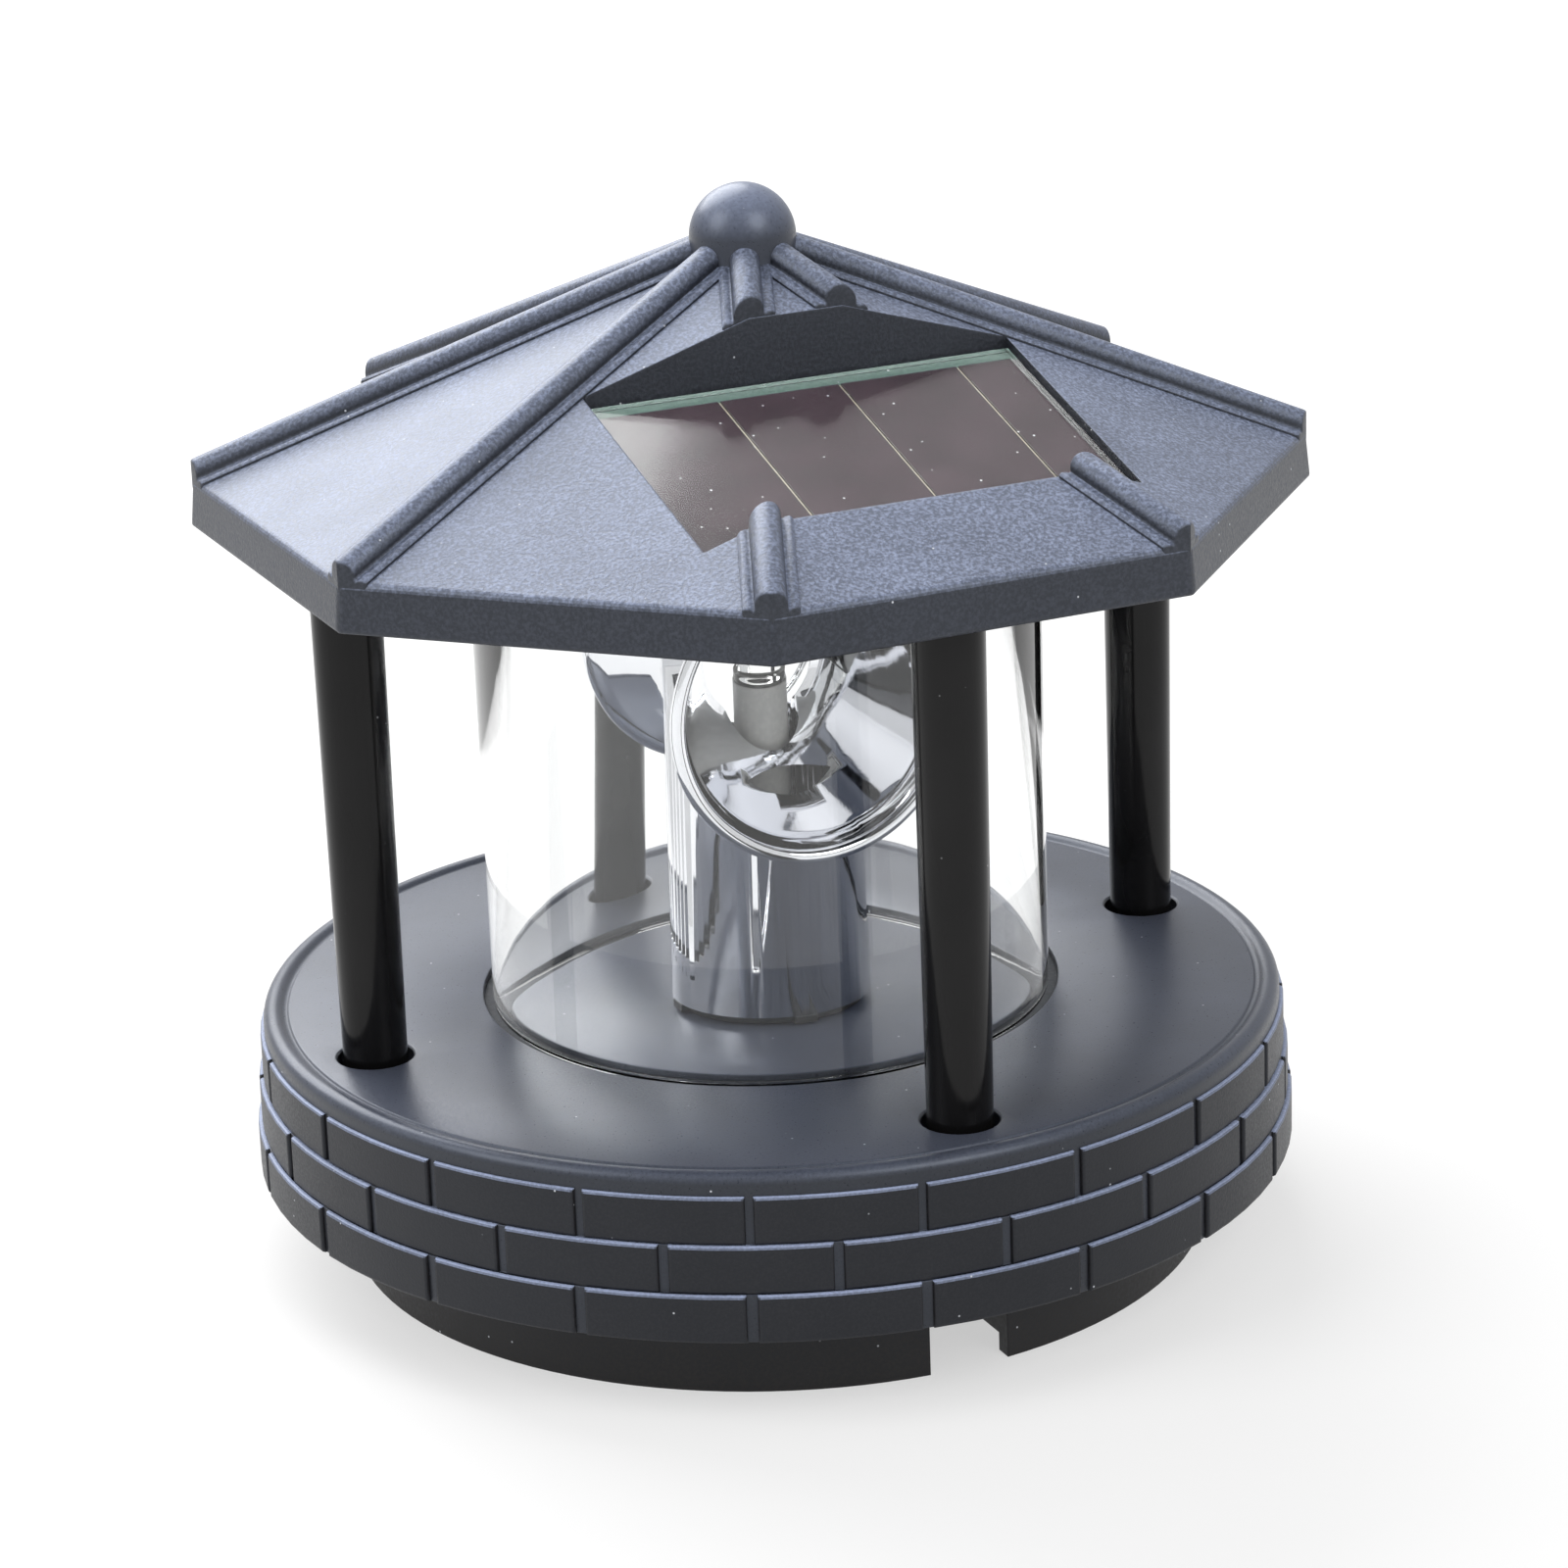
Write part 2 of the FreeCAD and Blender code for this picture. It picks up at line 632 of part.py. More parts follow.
def make_bottom_cover():
    """The floor, the spigot with its key slot, the battery bay and the closing flange."""
    shell = turned(
        "floor_and_spigot",
        [
            ("0", "floor_recess"),
            ("spigot_inner", "floor_recess"),
            ("spigot_inner", "0"),
            ("spigot_radius", "0"),
            ("spigot_radius", "spigot_height"),
            ("flange_radius", "spigot_height"),
            ("flange_radius", "flange_top"),
            ("spigot_inner", "flange_top"),
            ("spigot_inner", "floor_top"),
            ("0", "floor_top"),
        ],
    )
    hood = block(
        "slot_hood",
        "-key_slot_width / 2 - key_slot_wall",
        "key_slot_width / 2 + key_slot_wall",
        "-spigot_inner - spigot_wall / 4",
        "-spigot_radius + key_slot_reach + key_slot_wall",
        "floor_recess",
        "spigot_height + key_slot_wall",
    )
    bay = block(
        "bay_walls",
        "bay_left - bay_wall",
        "bay_right + bay_wall",
        "battery_y - bay_half_width - bay_wall",
        "battery_y + bay_half_width + bay_wall",
        "floor_recess",
        "floor_top + bay_wall_height",
    )
    board_spots = [
        ("board_left + board_length - board_peg_inset", "board_near + board_peg_inset"),
        ("board_left + board_length / 2", "board_near + board_depth - board_peg_inset"),
    ]
    bosses = [
        cylinder(f"board_boss_{k}", "board_boss_radius", "floor_recess", "board_level", x=x, y=y)
        for k, (x, y) in enumerate(board_spots)
    ]
    pegs = [
        cylinder(f"board_peg_{k}", "board_peg_radius", "floor_recess", "board_top + board_peg_rise", x=x, y=y)
        for k, (x, y) in enumerate(board_spots)
    ]
    solid = joined("cover_solid", shell, hood, bay, *bosses, *pegs)

    slot = block(
        "key_slot", "-key_slot_width / 2", "key_slot_width / 2",
        "-spigot_radius - 1", "-spigot_radius + key_slot_reach", "-1", "spigot_height",
    )
    bay_space = block(
        "bay_space", "bay_left", "bay_right",
        "battery_y - bay_half_width", "battery_y + bay_half_width", "0", "floor_top + bay_wall_height + 1",
    )
    hinge_bore = primitive(
        "Cylinder",
        "door_pin_bore",
        {
            "Radius": "door_pin_radius + door_pin_clearance",
            "Height": "2 * (door_half_width + door_pin_reach + door_gap)",
        },
        x="door_hinge_x",
        y="battery_y + door_half_width + door_pin_reach + door_gap",
        z="door_hinge_level",
        axis=(1, 0, 0),
        angle="90",
    )
    switch_slot = block(
        "switch_slot",
        "switch_x - switch_knob_width / 2 - switch_clearance",
        "switch_x + switch_knob_width / 2 + switch_clearance",
        "-switch_slot_half", "switch_slot_half", "floor_recess - 1", "floor_top + 1",
    )
    hole = cylinder("cover_hole", "screw_radius", "spigot_height - 1", "flange_top + 1", x="cover_screw_circle")
    counterbore = cylinder(
        "cover_counterbore", "screw_head_radius", "spigot_height - 1", "spigot_height + screw_head_height",
        x="cover_screw_circle",
    )
    node(
        "bottom_cover",
        cut(
            "bottom_cover", solid, slot, bay_space, hinge_bore, switch_slot,
            *ring_of(hole, "4", "45"), *ring_of(counterbore, "4", "45"),
        ),
    )
    return board_spots


def make_columns():
    """Four hollow columns, a little thicker at the top. Returns their outer cones."""
    cones = []
    for index, side in enumerate(COLUMN_NAMES):
        where = {
            "x": f"column_circle * cos({index} * 360 / column_count)",
            "y": f"column_circle * sin({index} * 360 / column_count)",
        }
        sizes = {
            "Radius1": "column_foot_radius",
            "Radius2": "column_top_radius",
            "Height": "column_top - column_foot",
        }
        cone = primitive("Cone", f"column_cone_{side}", sizes, z="column_foot", **where)
        bore = cylinder(f"column_bore_{side}", "column_bore", "column_foot - 1", "column_top + 1", **where)
        node(f"column_{side}", cut(f"column_{side}", cone, bore))
        cones.append(cone)
    return cones


def make_lens():
    """The clear tube and the gasket that it stands on."""
    node(
        "lens_tube",
        turned(
            "lens_tube",
            [
                ("lens_radius - lens_wall", "lens_low"),
                ("lens_radius", "lens_low"),
                ("lens_radius", "ceiling_low - lens_top_gap"),
                ("lens_radius - lens_wall", "ceiling_low - lens_top_gap"),
            ],
        ),
    )
    node(
        "lens_gasket",
        turned(
            "lens_gasket",
            [
                ("groove_inner", "groove_level"),
                ("groove_outer", "groove_level"),
                ("groove_outer", "lens_low"),
                ("groove_inner", "lens_low"),
            ],
        ),
    )


# ---------------------------------------------------------------- roof


def pocket_point(distance, drop):
    """A (y, z) point under the panel's top plane, at a distance from the axis towards -Y."""
    return (f"-({distance})", f"panel_height_at_axis - panel_slope * ({distance}) - {drop}")


def make_roof():
    """The eight-sided roof with its hip ribs, and the pocket that the solar panel lies in."""
    outer = lofted(
        "roof_outer",
        octagon("outer_low", "eaves_corner_low", "eaves_level"),
        octagon("outer_eaves", "eaves_corner_high", "eaves_top"),
        octagon("outer_peak", "finial_peg_radius", "roof_apex - hip_slope * finial_peg_radius"),
    )
    inner = lofted(
        "roof_inner",
        octagon("inner_low", "inner_corner_low", "eaves_level - 0.01"),
        octagon("inner_eaves", "inner_corner_high", "inner_eaves_top"),
        octagon("inner_peak", "finial_peg_radius", "inner_apex - hip_slope * finial_peg_radius"),
    )
    shell = cut("roof_hollow", outer, inner)

    tray_front = "pocket_front + tray_wall"
    tray_rear = "pocket_rear - tray_wall"
    tray = side_prism(
        "tray_block",
        [
            pocket_point(tray_front, "tray_drop"),
            pocket_point(tray_rear, "tray_drop"),
            (f"-({tray_rear})", "roof_apex"),
            (f"-({tray_front})", "roof_apex"),
        ],
        "2 * (pocket_half_width + tray_wall)",
    )
    boss = cylinder(
        "finial_boss", "finial_peg_radius + finial_boss_wall",
        "finial_centre - finial_seat_depth - finial_peg_length", "roof_apex",
    )
    screw_boss = cylinder(
        "roof_screw_boss", "roof_boss_radius", "ceiling_top", "roof_apex", x="roof_screw_circle"
    )
    inside = shared(
        "roof_inside", outer, joined("roof_inner_parts", tray, boss, *ring_of(screw_boss, "4", "45"))
    )

    rib_tilt = "90 deg + atan(hip_slope)"
    bead = primitive(
        "Cylinder",
        "rib_bead",
        {"Radius": "rib_bead_radius", "Height": "eaves_corner_low * sqrt(1 + hip_slope * hip_slope)"},
        z="roof_apex + rib_bead_rise",
        axis=(0, 1, 0),
        angle=rib_tilt,
    )
    flange = primitive(
        "Box",
        "rib_flange",
        {
            "Length": "2 * rib_flange_rise",
            "Width": "rib_flange_width",
            "Height": "eaves_corner_low * sqrt(1 + hip_slope * hip_slope)",
        },
        y="-rib_flange_width / 2",
        z="roof_apex + rib_flange_rise",
        axis=(0, 1, 0),
        angle=rib_tilt,
    )
    ribs = ring_of(joined("hip_rib", bead, flange), "roof_sides", "side_half_angle")
    eaves_prism = lofted(
        "eaves_prism",
        octagon("prism_low", "eaves_corner_high + rib_overhang", "eaves_top - 1"),
        octagon("prism_high", "eaves_corner_high + rib_overhang", "roof_apex + 5"),
    )
    trimmed_ribs = shared("trimmed_ribs", joined("all_ribs", *ribs), eaves_prism)
    solid = joined("roof_solid", shell, inside, trimmed_ribs)

    pocket = side_prism(
        "solar_pocket",
        [
            pocket_point("pocket_front", "panel_drop"),
            pocket_point("pocket_rear", "panel_drop"),
            ("-pocket_rear", "roof_apex + 5"),
            ("-pocket_front", "roof_apex + 5"),
        ],
        "2 * pocket_half_width",
    )
    finial_seat = cylinder(
        "finial_seat", "finial_radius", "finial_centre - finial_seat_depth", "roof_apex + 5"
    )
    peg_hole = cylinder(
        "finial_peg_hole", "finial_peg_radius",
        "finial_centre - finial_seat_depth - finial_peg_length - 1", "roof_apex + 5",
    )
    lead_hole = cylinder(
        "panel_lead_hole", "lead_radius + panel_gap", "ceiling_top", "roof_apex", y="-panel_lead_reach"
    )
    pilot = cylinder(
        "roof_pilot", "screw_radius", "ceiling_low", "ceiling_low + screw_length", x="roof_screw_circle"
    )
    node(
        "roof_shell",
        cut("roof_shell", solid, pocket, finial_seat, peg_hole, lead_hole, *ring_of(pilot, "4", "45")),
    )


def make_finial():
    """The domed finial, pressed into the roof by its peg."""
    dome = primitive("Sphere", "finial_dome", {"Radius": "finial_radius"}, z="finial_centre")
    neck = cylinder("finial_neck", "finial_radius", "finial_centre - finial_seat_depth", "finial_centre")
    peg = cylinder(
        "finial_peg", "finial_peg_radius",
        "finial_centre - finial_seat_depth - finial_peg_length", "finial_centre",
    )
    below = cylinder(
        "finial_below", "2 * finial_radius",
        "finial_centre - finial_seat_depth - finial_radius", "finial_centre - finial_seat_depth",
    )
    node("finial", joined("finial", cut("finial_head", joined("finial_ball", dome, neck), below), peg))


def make_ceiling(cones):
    """The plate that closes the roof from below, with sockets for the columns and a lip for the tube."""
    plate = primitive(
        "Prism",
        "ceiling_octagon",
        {"Circumradius": "inner_corner_low - ceiling_clearance", "Height": "ceiling_thickness"},
        z="ceiling_low",
        axis=(0, 0, 1),
        angle="side_half_angle",
    )
    plate.Polygon = int(number("roof_sides"))
    socket = cylinder(
        "ceiling_socket", "column_top_radius + ceiling_socket_wall", "ceiling_low", "column_top",
        x="column_circle",
    )
    lip = turned(
        "ceiling_lip",
        [
            ("lens_radius + lens_lip_gap", "ceiling_low - lens_lip_height"),
            ("lens_radius + lens_lip_gap + lens_lip_wall", "ceiling_low - lens_lip_height"),
            ("lens_radius + lens_lip_gap + lens_lip_wall", "ceiling_low + ceiling_thickness / 2"),
            ("lens_radius + lens_lip_gap", "ceiling_low + ceiling_thickness / 2"),
        ],
    )
    hole = cylinder("ceiling_hole", "screw_radius", "ceiling_low - 1", "ceiling_top + 1", x="roof_screw_circle")
    solid = joined("ceiling_solid", plate, lip, *ring_of(socket, "column_count"))
    node("ceiling_plate", cut("ceiling_plate", solid, *cones, *ring_of(hole, "4", "45")))


def panel_layer(name, left, right, low, thickness, border):
    """A flat layer of the solar panel, between two depths under its top plane."""
    tilt = "atan(panel_slope)"
    half = f"(panel_length / 2 - {border})"
    sides = {"Length": f"{right} - ({left})", "Width": f"2 * {half}", "Height": thickness}
    return primitive(
        "Box",
        name,
        sides,
        x=left,
        y=f"-panel_middle - cos({tilt}) * {half} + sin({tilt}) * ({low})",
        z=f"panel_height_at_axis - panel_slope * panel_middle - sin({tilt}) * {half} - cos({tilt}) * ({low})",
        axis=(1, 0, 0),
        angle=tilt,
    )


def make_solar_panel():
    """The panel's backing board, its row of cells and its clear cover."""
    edge = "(pocket_half_width - panel_gap / 2)"
    cell_bottom = "panel_glass_thickness + panel_cell_thickness"
    node(
        "solar_board",
        panel_layer("solar_board", f"-{edge}", edge, "panel_thickness", "panel_board_thickness", "0"),
    )
    cells = []
    count = int(number("cell_count"))
    for index in range(count):
        left = f"cell_first_edge + {index} * cell_pitch"
        right = "cell_last_edge" if index == count - 1 else f"{left} + cell_pitch - cell_gap"
        cells.append(
            panel_layer(f"cell_{index}", left, right, cell_bottom, "panel_cell_thickness", "cell_border")
        )
    node("solar_cells", group("solar_cells", *cells), count)
    frame = panel_layer(
        "cover_sheet", f"-{edge}", edge, cell_bottom, "panel_glass_thickness + panel_cell_thickness", "0"
    )
    node("solar_cover", cut("solar_cover", frame, *cells))


# ---------------------------------------------------------------- mirror and gear train


def make_mirror():
    """The chromed mirror: an upright hub with two horns back to back, and a rolled rim at each mouth."""
    hub = cylinder("mirror_hub", "mirror_hub_radius", "turntable_top", "mirror_axis_level")
    outer, inner, rims = [], [], []
    for index, (side, turn) in enumerate((("front", "90"), ("rear", "-90"))):
        sign = "-" if side == "front" else ""
        sizes = {"Radius1": "throat_outer", "Radius2": "mouth_outer", "Height": "horn_length"}
        tilt = {"z": "mirror_axis_level", "axis": (1, 0, 0), "angle": turn}
        outer.append(primitive("Cone", f"horn_{side}", sizes, **tilt))
        sizes = {
            "Radius1": "horn_throat_radius",
            "Radius2": "horn_mouth_radius",
            "Height": "horn_length",
        }
        inner.append(primitive("Cone", f"horn_inside_{side}", sizes, **tilt))
        sizes = {"Radius1": "horn_mouth_radius + mirror_wall / 2", "Radius2": "horn_rim_radius"}
        tilt["y"] = f"{sign}horn_length"
        rims.append(primitive("Torus", f"horn_rim_{side}", sizes, **tilt))
    nub = primitive(
        "Sphere", "moulding_nub", {"Radius": "mirror_wall / 2"},
        x="-mirror_hub_radius * cos(62)", y="-mirror_hub_radius * sin(62)",
        z="turntable_top + 2.5 * mirror_web",
    )
    cavity = cylinder(
        "hub_cavity", "mirror_hub_radius - mirror_wall", "turntable_top + mirror_web", "cavity_top"
    )
    spindle_hole = cylinder("hub_spindle_hole", "spindle_radius", "turntable_top - 1", "cavity_top")
    post_hole = cylinder("hub_post_hole", "post_hole_radius", "turntable_top", "mirror_axis_level")
    body = cut("mirror_shell", joined("mirror_solid", hub, nub, *outer), *inner, cavity, spindle_hole, post_hole)
    mirror = joined("mirror", body, *rims)
    place(mirror, axis=(0, 0, 1), angle="mirror_turn")
    node("mirror", mirror)


def make_turntable():
    """The flanged spindle that carries the mirror through the deck."""
    disc = turned(
        "turntable_disc",
        [
            ("post_radius + running_clearance", "mirror_gear_low"),
            ("spindle_radius", "mirror_gear_low"),
            ("spindle_radius", "turntable_low"),
            ("turntable_radius", "turntable_low"),
            ("turntable_radius", "turntable_top"),
            ("spindle_radius", "turntable_top"),
            ("spindle_radius", "turntable_top + spindle_stub"),
            ("post_radius + running_clearance", "turntable_top + spindle_stub"),
        ],
    )
    lug = block(
        "turntable_lug",
        "spindle_radius + 1",
        "mirror_hub_radius",
        "-turntable_lug_width / 2",
        "turntable_lug_width / 2",
        "turntable_low",
        "turntable_top",
    )
    node("turntable", joined("turntable", disc, *ring_of(lug, "4", "mirror_turn")))


def involute(angle):
    """The involute of a pressure angle, in radians."""
    return math.tan(angle) - angle


def gear_outline(teeth, first_tooth):
    """A closed wire round a spur gear with involute flanks. The first tooth points at an angle in degrees."""
    module = number("gear_module")
    pressure = math.radians(number("pressure_angle"))
    pitch_radius = module * teeth / 2
    base_radius = pitch_radius * math.cos(pressure)
    tip_radius = pitch_radius + module
    root_radius = pitch_radius - 1.25 * module
    half_tooth = math.pi / (2 * teeth) - number("tooth_backlash") / (2 * pitch_radius)
    flank_low = max(base_radius, root_radius) + 0.001
    flank_steps = 5

    def on_flank(radius, centre, side):
        lean = half_tooth + involute(pressure) - involute(math.acos(base_radius / radius))
        angle = centre + side * lean
        return Vector(radius * math.cos(angle), radius * math.sin(angle), 0)

    def at(radius, angle):
        return Vector(radius * math.cos(angle), radius * math.sin(angle), 0)

    radii = [flank_low + (tip_radius - flank_low) * k / flank_steps for k in range(flank_steps + 1)]
    pitch = 2 * math.pi / teeth
    foot_lean = half_tooth + involute(pressure) - involute(math.acos(base_radius / flank_low))
    edges = []
    for tooth in range(teeth):
        centre = math.radians(first_tooth) + tooth * pitch
        rising = [on_flank(radius, centre, -1) for radius in radii]
        falling = [on_flank(radius, centre, 1) for radius in reversed(radii)]
        foot = at(root_radius, centre - foot_lean)
        heel = at(root_radius, centre + foot_lean)
        next_foot = at(root_radius, centre + pitch - foot_lean)
        if (foot - rising[0]).Length > 1e-4:
            edges.append(Part.LineSegment(foot, rising[0]).toShape())
        for flank in (rising, falling):
            curve = Part.BSplineCurve()
            curve.interpolate(flank)
            if flank is falling:
                edges.append(Part.Arc(rising[-1], at(tip_radius, centre), falling[0]).toShape())
            edges.append(curve.toShape())
        if (heel - falling[-1]).Length > 1e-4:
            edges.append(Part.LineSegment(falling[-1], heel).toShape())
        edges.append(Part.Arc(heel, at(root_radius, centre + pitch / 2), next_foot).toShape())
    return Part.Wire(edges)


def gear_blank(teeth, first_tooth, low, high, bore):
    """A toothed disc with a round bore, between two levels."""
    face = Part.Face(gear_outline(teeth, first_tooth))
    disc = face.extrude(Vector(0, 0, high - low))
    disc.translate(Vector(0, 0, low))
    return disc.cut(Part.makeCylinder(bore, high - low, Vector(0, 0, low)))


def gear_node(name, shape, x, y):
    """A gear as a document object, moved to its axis."""
    item = document.addObject("Part::Feature", name)
    item.Shape = shape
    item.Placement = Placement(Vector(number(x), number(y), 0), Rotation())
    return node(name, item)


def make_gears():
    """The mirror's gear, the compound idler and the motor pinion, in mesh at rest."""
    mirror_teeth = int(number("mirror_gear_teeth"))
    small_teeth = int(number("idler_small_teeth"))
    large_teeth = int(number("idler_large_teeth"))
    pinion_teeth = int(number("pinion_teeth"))
    to_idler = number("idler_direction")
    to_motor = number("motor_direction")
    lower = (number("lower_gear_low"), number("lower_gear_top"))
    upper = (number("mirror_gear_low"), number("mirror_gear_top"))

    wheel = gear_blank(mirror_teeth, to_idler, *upper, number("spindle_radius"))
    collar_top = number("deck_under - gear_deck_gap")
    collar = Part.makeCylinder(number("mirror_gear_collar"), collar_top - upper[1], Vector(0, 0, upper[1]))
    bore = Part.makeCylinder(number("spindle_radius"), collar_top, Vector(0, 0, 0))
    gear_node("mirror_gear", wheel.fuse(collar.cut(bore)).removeSplitter(), "0", "0")

    axle_bore = number("idler_axle_radius + running_clearance")
    large = gear_blank(large_teeth, to_motor, *lower, axle_bore)
    small = gear_blank(small_teeth, to_idler + 180 + 180 / small_teeth, lower[1], upper[1], axle_bore)
    gear_node("idler_gear", large.fuse(small).removeSplitter(), "idler_x", "idler_y")

    pinion = gear_blank(
        pinion_teeth, to_motor + 180 + 180 / pinion_teeth, *lower, number("motor_shaft_radius")
    )
    gear_node("motor_pinion", pinion, "motor_x", "motor_y")

    node(
        "idler_axle",
        cylinder(
            "idler_axle", "idler_axle_radius", "plate_level", "deck_under + idler_axle_socket",
            x="idler_x", y="idler_y",
        ),
    )


def make_gearbox():
    """The plate under the deck that holds the motor, the idler's axle and the lamp post."""
    right = "plate_post_x + plate_margin"
    left = "motor_x - motor_radius - 0.5"
    outline = [
        (left, "plate_post_left_y - plate_margin"),
        (right, "-plate_post_y - plate_margin"),
        (right, "plate_post_y + plate_margin"),
        ("0", "motor_y + motor_radius / 2"),
        ("motor_x + motor_radius / 2", "motor_y + motor_radius"),
        (left, "motor_y + motor_radius"),
    ]
    slab = flat_plate("gearbox_slab", outline, "plate_level", "plate_thickness")
    tools = [
        cylinder(f"plate_hole_{k}", "screw_radius", "plate_level - 1", "plate_top + 1", x=x, y=y)
        for k, (x, y) in enumerate(PLATE_POSTS)
    ]
    tools += [
        cylinder(
            "plate_axle_hole", "idler_axle_radius", "plate_level - 1", "plate_top + 1", x="idler_x", y="idler_y"
        ),
        cylinder("plate_post_hole", "post_radius", "plate_level - 1", "plate_top + 1"),
        cylinder(
            "plate_motor_hole", "motor_boss_radius + running_clearance", "plate_level - 1", "plate_top + 1",
            x="motor_x", y="motor_y",
        ),
    ]
    for index, x in enumerate(MOTOR_SCREW_X):
        tools.append(
            cylinder(
                f"motor_screw_hole_{index}", "motor_screw_radius", "plate_level - 1", "plate_top + 1",
                x=x, y="motor_y",
            )
        )
        tools.append(
            cylinder(
                f"motor_screw_sink_{index}", "motor_screw_head", "plate_top - motor_screw_head_height",
                "plate_top + 1", x=x, y="motor_y",
            )
        )
    node("gearbox_plate", cut("gearbox_plate", slab, *tools))


MOTOR_SCREW_X = ("motor_x - motor_screw_circle", "motor_x + motor_screw_circle")


def make_motor():
    """The flat round motor under the plate, and its shaft."""
    where = {"x": "motor_x", "y": "motor_y"}
    can = cylinder("motor_can", "motor_radius", "motor_low", "plate_level", **where)
    boss = cylinder("motor_boss", "motor_boss_radius", "plate_level", "plate_level + motor_boss_height", **where)
    bore = cylinder(
        "motor_bore", "motor_shaft_radius + running_clearance", "motor_low + motor_shaft_foot",
        "plate_top + 1", **where,
    )
    taps = [
        cylinder(
            f"motor_tap_{index}", "motor_screw_radius",
            "plate_top - motor_screw_head_height - motor_screw_length", "plate_level + 1", x=x, y="motor_y",
        )
        for index, x in enumerate(MOTOR_SCREW_X)
    ]
    node("motor_case", cut("motor_case", joined("motor_solid", can, boss), bore, *taps))
    node(
        "motor_shaft",
        cylinder(
            "motor_shaft", "motor_shaft_radius", "motor_low + motor_shaft_foot + gear_deck_gap",
            "lower_gear_top", **where,
        ),
    )


def make_lamp():
    """The hollow post that the mirror turns round, and the lamp on its top."""
    node(
        "lamp_post",
        turned(
            "lamp_post",
            [
                ("post_bore", "plate_level - post_flange_thickness"),
                ("post_flange_radius", "plate_level - post_flange_thickness"),
                ("post_flange_radius", "plate_level"),
                ("post_radius", "plate_level"),
                ("post_radius", "lamp_foot"),
                ("post_bore", "lamp_foot"),
            ],
        ),
    )
    rim = cylinder("lamp_rim", "lamp_rim_radius", "lamp_foot", "lamp_foot + lamp_rim_height")
    stem = cylinder("lamp_stem", "lamp_radius", "lamp_foot", "lamp_foot + lamp_rim_height + lamp_body_height")
    dome = primitive(
        "Sphere", "lamp_dome", {"Radius": "lamp_radius"}, z="lamp_foot + lamp_rim_height + lamp_body_height"
    )
    node("lamp", joined("lamp", rim, stem, dome))


# ---------------------------------------------------------------- power: battery, switch, board, leads


def make_battery():
    """The rechargeable cell, its two contacts, and the hinged door under it."""
    lying = {"y": "battery_y", "z": "battery_axis", "axis": (0, 1, 0), "angle": "90"}
    can_length = "battery_length - battery_nub_length"
    can = primitive(
        "Cylinder", "battery_can", {"Radius": "battery_radius", "Height": can_length},
        x="battery_start_x", **lying,
    )
    nub = primitive(
        "Cylinder", "battery_nub", {"Radius": "battery_nub_radius", "Height": "battery_length"},
        x="battery_start_x", **lying,
    )
    node("battery_cell", joined("battery_cell", can, nub))

    contact_sides = (
        "battery_y - contact_size / 2", "battery_y + contact_size / 2",
        "battery_axis - contact_size / 2", "battery_axis + contact_size / 2",
    )
    node("contact_plate", block("contact_plate", "battery_end_x", "bay_right", *contact_sides))
    node("spring_plate", block("spring_plate", "bay_left", "bay_left + contact_thickness", *contact_sides))
    make_contact_spring()

    slab = block(
        "door_slab", "bay_left + door_gap", "door_hinge_x",
        "battery_y - door_half_width", "battery_y + door_half_width",
        "floor_recess", "floor_recess + door_thickness",
    )
    across = {"x": "door_hinge_x", "z": "door_hinge_level", "axis": (1, 0, 0), "angle": "90"}
    knuckle = primitive(
        "Cylinder", "door_knuckle", {"Radius": "door_knuckle_radius", "Height": "2 * door_half_width"},
        y="battery_y + door_half_width", **across,
    )
    pin = primitive(
        "Cylinder", "door_pin",
        {"Radius": "door_pin_radius", "Height": "2 * (door_half_width + door_pin_reach)"},
        y="battery_y + door_half_width + door_pin_reach", **across,
    )
    grips = [
        block(
            f"door_grip_{index}",
            f"bay_left + {2 + 2 * index} * door_rib_width + door_gap",
            f"bay_left + {3 + 2 * index} * door_rib_width + door_gap",
            "battery_y - door_half_width / 2", "battery_y + door_half_width / 2",
            "floor_recess - door_rib_drop", "floor_recess + door_rib_drop",
        )
        for index in range(4)
    ]
    node("battery_door", joined("battery_door", slab, knuckle, pin, *grips))


def biarc(start, start_way, end, end_way):
    """Two arcs that join in one tangent, from a point and direction to another point and direction."""
    chord = end - start
    both = start_way + end_way
    spread = 2 * (1 - start_way.dot(end_way))
    along = chord.dot(both)
    reach = (math.sqrt(along * along + spread * chord.dot(chord)) - along) / spread
    meeting = (start + end + (start_way - end_way) * reach) * 0.5
    arcs = []
    for first, corner, last in (
        (start, start + start_way * reach, meeting),
        (meeting, end - end_way * reach, end),
    ):
        middle = (first + last) * 0.5
        half_chord = (last - first).Length / 2
        height = (corner - middle).Length
        rise = half_chord * math.tan(math.atan2(height, half_chord) / 2)
        arcs.append(Part.Arc(first, middle + (corner - middle) * (rise / height), last).toShape())
    return arcs


